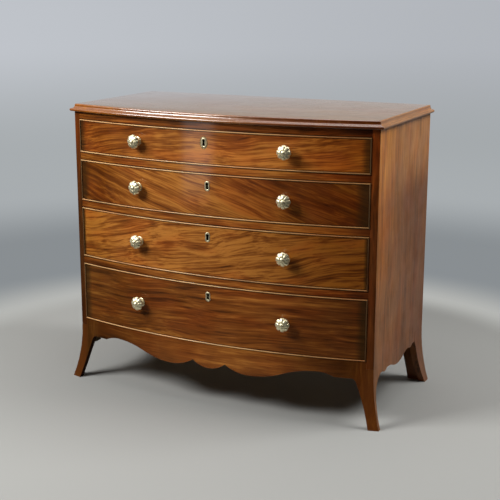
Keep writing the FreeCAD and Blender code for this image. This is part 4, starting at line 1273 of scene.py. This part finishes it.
class CHEST_OT_escutcheons(bpy.types.Operator):
    """Let in the keyhole surrounds, with the oval plate of the top drawer"""

    bl_idname = "chest.escutcheons"
    bl_label = "Escutcheons"

    def execute(self, context):
        size = sizes()
        rim = surround_outline()
        for drawer in DRAWERS:
            node = drawer + "_escutcheon"
            low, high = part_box(node)
            x = (low.x + high.x) / 2
            place = (Matrix.Translation((x, bow_y(x), (low.z + high.z) / 2))
                     @ Matrix.Rotation(pi / 2, 4, "X"))
            bm = bmesh.new()
            surround(bm, place, rim, keyhole_outline(), stand=size.rim_stand * RIM_STANDS,
                     depth=RIM_LET_IN)
            rim_faces = len(bm.faces)
            across = (high.x - low.x) / 2
            if across * 2 > size.rim_width * PLATE_WIDER:
                oval = [(across * cos(turn), (high.z - low.z) / 2 * sin(turn))
                        for turn in spread(0.0, tau, RIM_STEPS + 1)[:-1]]
                surround(bm, place, oval, rim, stand=size.rim_stand * PLATE_STANDS,
                         depth=PLATE_LET_IN)
            piece = piece_for(node, bm, finish("Plate brass"), crease=45)
            second_finish(piece, finish("Oval plate"), lambda face: face.index >= rim_faces)
            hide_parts(node)
        return {"FINISHED"}


HEAD_WELD = 1e-7
SCREW_INSET = 0.007
NAIL_INSET = 0.012
NAIL_PLACES = (0.2, 0.8)
NAIL_SUNK = 0.32


def slotted_head(radius):
    """A low domed head with a slot across it, standing on the origin."""
    height = radius * 0.28
    slot_half = radius * 0.14
    slot_depth = height * 0.8
    loops = []
    for across, up in ((1.0, -height), (1.0, height * 0.3), (0.92, height * 0.7),
                       (0.6, height), (0.0, height * 1.05)):
        loop = []
        for x, y in arc(radius * across, 0.0, spread(0.0, tau, HEAD_STEPS + 1)[:-1]):
            loop.append((x, y, up - (slot_depth if abs(y) < slot_half and up > 0 else 0.0)))
        loops.append(loop)
    bm = bmesh.new()
    bm.faces.new(ring_stack(bm, loops, closed=False)[0])
    bmesh.ops.remove_doubles(bm, verts=bm.verts, dist=HEAD_WELD)
    bmesh.ops.recalc_face_normals(bm, faces=bm.faces)
    return bm


def fasteners(tool, name, points, radius, body):
    """Slotted heads at the points, facing back, grown by the point tool."""
    steel = finish("Bolt steel")
    head = add_object(name + "_head", mesh_of(name + "_head", slotted_head(radius)))
    head_mesh = head.data
    bm = bmesh.new()
    layer = bm.verts.layers.float_vector.new("way")
    for point in points:
        bm.verts.new(point)[layer] = (0, 1, 0)
    mesh = grown(name, bm, tool, {"Part": head, "Finish": steel})
    bpy.data.objects.remove(head)
    bpy.data.meshes.remove(head_mesh)
    made = bmesh.new()
    made.from_mesh(mesh)
    bpy.data.meshes.remove(mesh)
    shade(made, crease=50)
    new_piece(name, made, body, steel)


class CHEST_OT_fasteners(bpy.types.Operator):
    """Drive the lock screws and the nails of the back boards"""

    bl_idname = "chest.fasteners"
    bl_label = "Screws and nails"

    def execute(self, context):
        tool = set_on_points()
        size = sizes()
        nail_sunk = size.nail_radius * NAIL_SUNK
        for drawer in DRAWERS:
            low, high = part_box(drawer + "_lock")
            points = [(x, high.y, z) for x in (low.x + SCREW_INSET, high.x - SCREW_INSET)
                      for z in (low.z + SCREW_INSET, high.z - SCREW_INSET)]
            fasteners(tool, drawer + "_lock_screws", points, size.screw_radius, drawer)
        low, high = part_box("back_boards")
        board = (high.x - low.x) / BACK_BOARDS
        points = [(low.x + board * (index + part), high.y - nail_sunk, z)
                  for index in range(BACK_BOARDS) for part in NAIL_PLACES
                  for z in (low.z + NAIL_INSET, (low.z + high.z) / 2, high.z - NAIL_INSET)]
        fasteners(tool, "back_nails", points, size.nail_radius, "carcass")
        return {"FINISHED"}


# ---- operators: studio

BACKDROP_FALL = 0.17
FLOOR_RADIUS = 60.0
FLOOR_SIDES = 96
SENSOR_WIDTH = 36.0


def room_group():
    """What polish and brass reflect: a dark room in front, a tall window, a pale backdrop."""
    tone = colours()
    setup = studio()
    tree, given, result = shader_group("Room", {"Way": VECTOR}, {"Color": COLOUR})
    split = split_xyz(tree, vectors(tree, "NORMALIZE", given["Way"])[0])
    x, y, z = (split[axis] for axis in "XYZ")
    level = out(tree, "ShaderNodeCombineXYZ", {0: x, 1: y})
    aim = (-sin(setup.window_turn), -cos(setup.window_turn), 0.0)
    facing = vectors(tree, "DOT_PRODUCT", vectors(tree, "NORMALIZE", level)[0], aim)["Value"]
    across = ramped(tree, facing, cos(setup.window_half * 1.5), cos(setup.window_half * 0.5))
    tall = times(tree, ramped(tree, z, -0.18, -0.12), ramped(tree, z, 0.4, 0.3))
    overhead = times(tree, ramped(tree, z, 0.1, 0.55), ramped(tree, x, -0.05, -0.55))
    glare = tuple(channel * setup.window_level for channel in tone.window)
    dark = blend(tree, times(tree, across, tall), rgba(tone.room), rgba(glare))
    front = blend(tree, overhead, dark, rgba(tone.ceiling))
    backdrop = blend(tree, ramped(tree, z, -0.25, 0.02), rgba(tone.band), rgba(tone.haze))
    backdrop = blend(tree, ramped(tree, z, 0.02, 0.3), backdrop, rgba(tone.glow))
    feed(tree, result, {"Color": blend(tree, ramped(tree, y, -0.1, 0.35), front, backdrop)})


def shown_by_ray(tree, seen, way):
    """The backdrop to the camera's own rays, the room to reflections, and both masks."""
    path = put(tree, "ShaderNodeLightPath").outputs
    glossy = maths(tree, "MAXIMUM", path["Is Glossy Ray"], path["Is Transmission Ray"])
    mirrored = use_group(tree, "Room", {"Way": way})["Color"]
    return blend(tree, glossy, seen, mirrored), path["Is Camera Ray"], glossy


def past_the_left(tree, way):
    """0 far off to the left, 1 from a little left of the middle onwards."""
    return ramped(tree, split_xyz(tree, way)["X"], -0.75, -0.15)


def darkened(tree, amount, seen):
    return blend(tree, times(tree, amount, BACKDROP_FALL), seen, BLACK)


def floor_material():
    """Grey paper near the chest, melting into the backdrop's own brightness far off."""
    tone = colours()
    tree, surface, place = new_material("Studio paper")
    grain = times(tree, noise(tree, place, 3.0, 2.0, 0.5)[0], 0.15)
    feed(tree, surface.inputs, {
        "Base Color": blend(tree, grain, rgba(tone.floor), rgba(scaled(tone.floor, 0.9))),
        "Roughness": 0.75, "Specular IOR Level": 0.1})
    distance = vectors(tree, "LENGTH", place)["Value"]
    decades = maths(tree, "LOGARITHM", distance, 10.0)
    shown = rgba(tone.shelf)
    for start, full, further in ((0.05, 0.19, tone.band), (0.32, 0.52, tone.wall),
                                 (0.68, 1.3, tone.haze)):
        shown = blend(tree, ramped(tree, decades, start, full), shown, rgba(further))
    dimmed = times(tree, past_the_left(tree, vectors(tree, "NORMALIZE", place)[0]),
                   ramped(tree, decades, 0.5, 1.2))
    from_middle = vectors(tree, "SUBTRACT", place, (0.0, 0.0, 0.55))[0]
    shown, camera_ray, glossy = shown_by_ray(tree, darkened(tree, dimmed, shown), from_middle)
    far_off = times(tree, ramped(tree, distance, 0.98, 1.2), camera_ray)
    beyond = times(tree, ramped(tree, distance, 0.5, 0.8), glossy)
    mix = out(tree, "ShaderNodeMixShader",
              {0: maths(tree, "MAXIMUM", far_off, beyond), 1: surface.outputs[0],
               2: out(tree, "ShaderNodeEmission", {"Color": shown, "Strength": 1.0})})
    feed(tree, tree.nodes["Material Output"].inputs, {"Surface": mix})


def build_world():
    """Faint even light, with the haze of the backdrop where it is seen."""
    world = bpy.data.worlds.new("Studio")
    world.use_nodes = True
    tree = world.node_tree
    tree.nodes.clear()
    way = put(tree, "ShaderNodeTexCoord").outputs["Generated"]
    haze = darkened(tree, past_the_left(tree, way), rgba(colours().haze))
    shown, camera_ray, glossy = shown_by_ray(tree, haze, way)
    mix = out(tree, "ShaderNodeMixShader", {
        0: maths(tree, "MAXIMUM", camera_ray, glossy),
        1: out(tree, "ShaderNodeBackground", {"Color": WHITE, "Strength": studio().ambient}),
        2: out(tree, "ShaderNodeBackground", {"Color": shown, "Strength": 1.0})})
    put(tree, "ShaderNodeOutputWorld", {"Surface": mix})
    bpy.context.scene.world = world


def lamp(name, power, place, aim, width, height):
    """A soft box that the camera doesn't see."""
    data = bpy.data.lights.new(name, "AREA")
    data.shape = "RECTANGLE"
    data.size = width
    data.size_y = height
    data.energy = power
    soft_box = add_object(name, data)
    soft_box.location = place
    soft_box.rotation_euler = (Vector(aim) - Vector(place)).to_track_quat("-Z", "Y").to_euler()
    soft_box.visible_camera = False


class CHEST_OT_stage(bpy.types.Operator):
    """Set up the floor, backdrop, lamps and camera"""

    bl_idname = "chest.stage"
    bl_label = "Studio"

    def execute(self, context):
        bm = bmesh.new()
        bmesh.ops.create_circle(bm, cap_ends=True, segments=FLOOR_SIDES, radius=FLOOR_RADIUS)
        floor = add_object("floor", mesh_of("floor", bm))
        room_group()
        floor_material()
        floor.data.materials.append(finish("Studio paper"))
        build_world()
        setup = studio()
        lamp("Key", setup.key_power, place=(-1.75, -1.9, 2.4), aim=(0.0, 0.0, 0.45),
             width=1.4, height=1.05)
        lamp("Overhead", setup.top_power, place=(0.2, 0.2, 2.9), aim=(0.1, 0.0, 0.6),
             width=2.0, height=2.0)
        lamp("Side", setup.side_power, place=(1.7, 0.5, 2.3), aim=(0.4, 0.0, 0.6),
             width=1.0, height=1.0)
        data = bpy.data.cameras.new("Camera")
        data.lens = setup.lens
        data.sensor_width = SENSOR_WIDTH
        camera = add_object("Camera", data)
        look = Vector((-sin(setup.yaw) * cos(setup.pitch),
                       cos(setup.yaw) * cos(setup.pitch), sin(setup.pitch)))
        turn = look.to_track_quat("-Z", "Y").to_matrix().to_4x4()
        turn = turn @ Matrix.Rotation(setup.roll, 4, "Z")
        camera.matrix_world = Matrix.Translation(Vector(setup.camera_place)) @ turn
        context.scene.camera = camera
        context.scene.view_settings.view_transform = "Standard"
        return {"FINISHED"}


# ---- panel and registration

OPERATORS = (CHEST_OT_finishes, CHEST_OT_case, CHEST_OT_top, CHEST_OT_drawers,
             CHEST_OT_cockbeads, CHEST_OT_knobs, CHEST_OT_escutcheons, CHEST_OT_fasteners,
             CHEST_OT_stage)


class CHEST_PT_panel(bpy.types.Panel):
    """The chest's builders in the order of use"""

    bl_idname = "CHEST_PT_panel"
    bl_label = "Bow Front Chest"
    bl_space_type = "VIEW_3D"
    bl_region_type = "UI"
    bl_category = "Chest"

    def draw(self, context):
        for operator in OPERATORS:
            self.layout.operator(operator.bl_idname)
        for group in (context.scene.chest_sizes, context.scene.chest_colours,
                      context.scene.chest_studio):
            column = self.layout.column()
            for name in group.bl_rna.properties.keys():
                if name not in {"rna_type", "name"}:
                    column.prop(group, name)


CLASSES = (ChestSizes, ChestColours, ChestStudio) + OPERATORS + (CHEST_PT_panel,)


def register():
    for cls in CLASSES:
        bpy.utils.register_class(cls)
    bpy.types.Scene.chest_sizes = bpy.props.PointerProperty(type=ChestSizes)
    bpy.types.Scene.chest_colours = bpy.props.PointerProperty(type=ChestColours)
    bpy.types.Scene.chest_studio = bpy.props.PointerProperty(type=ChestStudio)


def unregister():
    del bpy.types.Scene.chest_studio
    del bpy.types.Scene.chest_colours
    del bpy.types.Scene.chest_sizes
    for cls in reversed(CLASSES):
        bpy.utils.unregister_class(cls)


def corners(box):
    return [list(corner) for corner in box]


def main():
    register()
    bpy.ops.chest.finishes()
    bpy.ops.chest.case()
    bpy.ops.chest.top()
    bpy.ops.chest.drawers()
    bpy.ops.chest.cockbeads()
    bpy.ops.chest.knobs()
    bpy.ops.chest.escutcheons()
    bpy.ops.chest.fasteners()
    bpy.ops.chest.stage()
    bpy.context.view_layer.update()


if __name__ == "__main__":
    main()
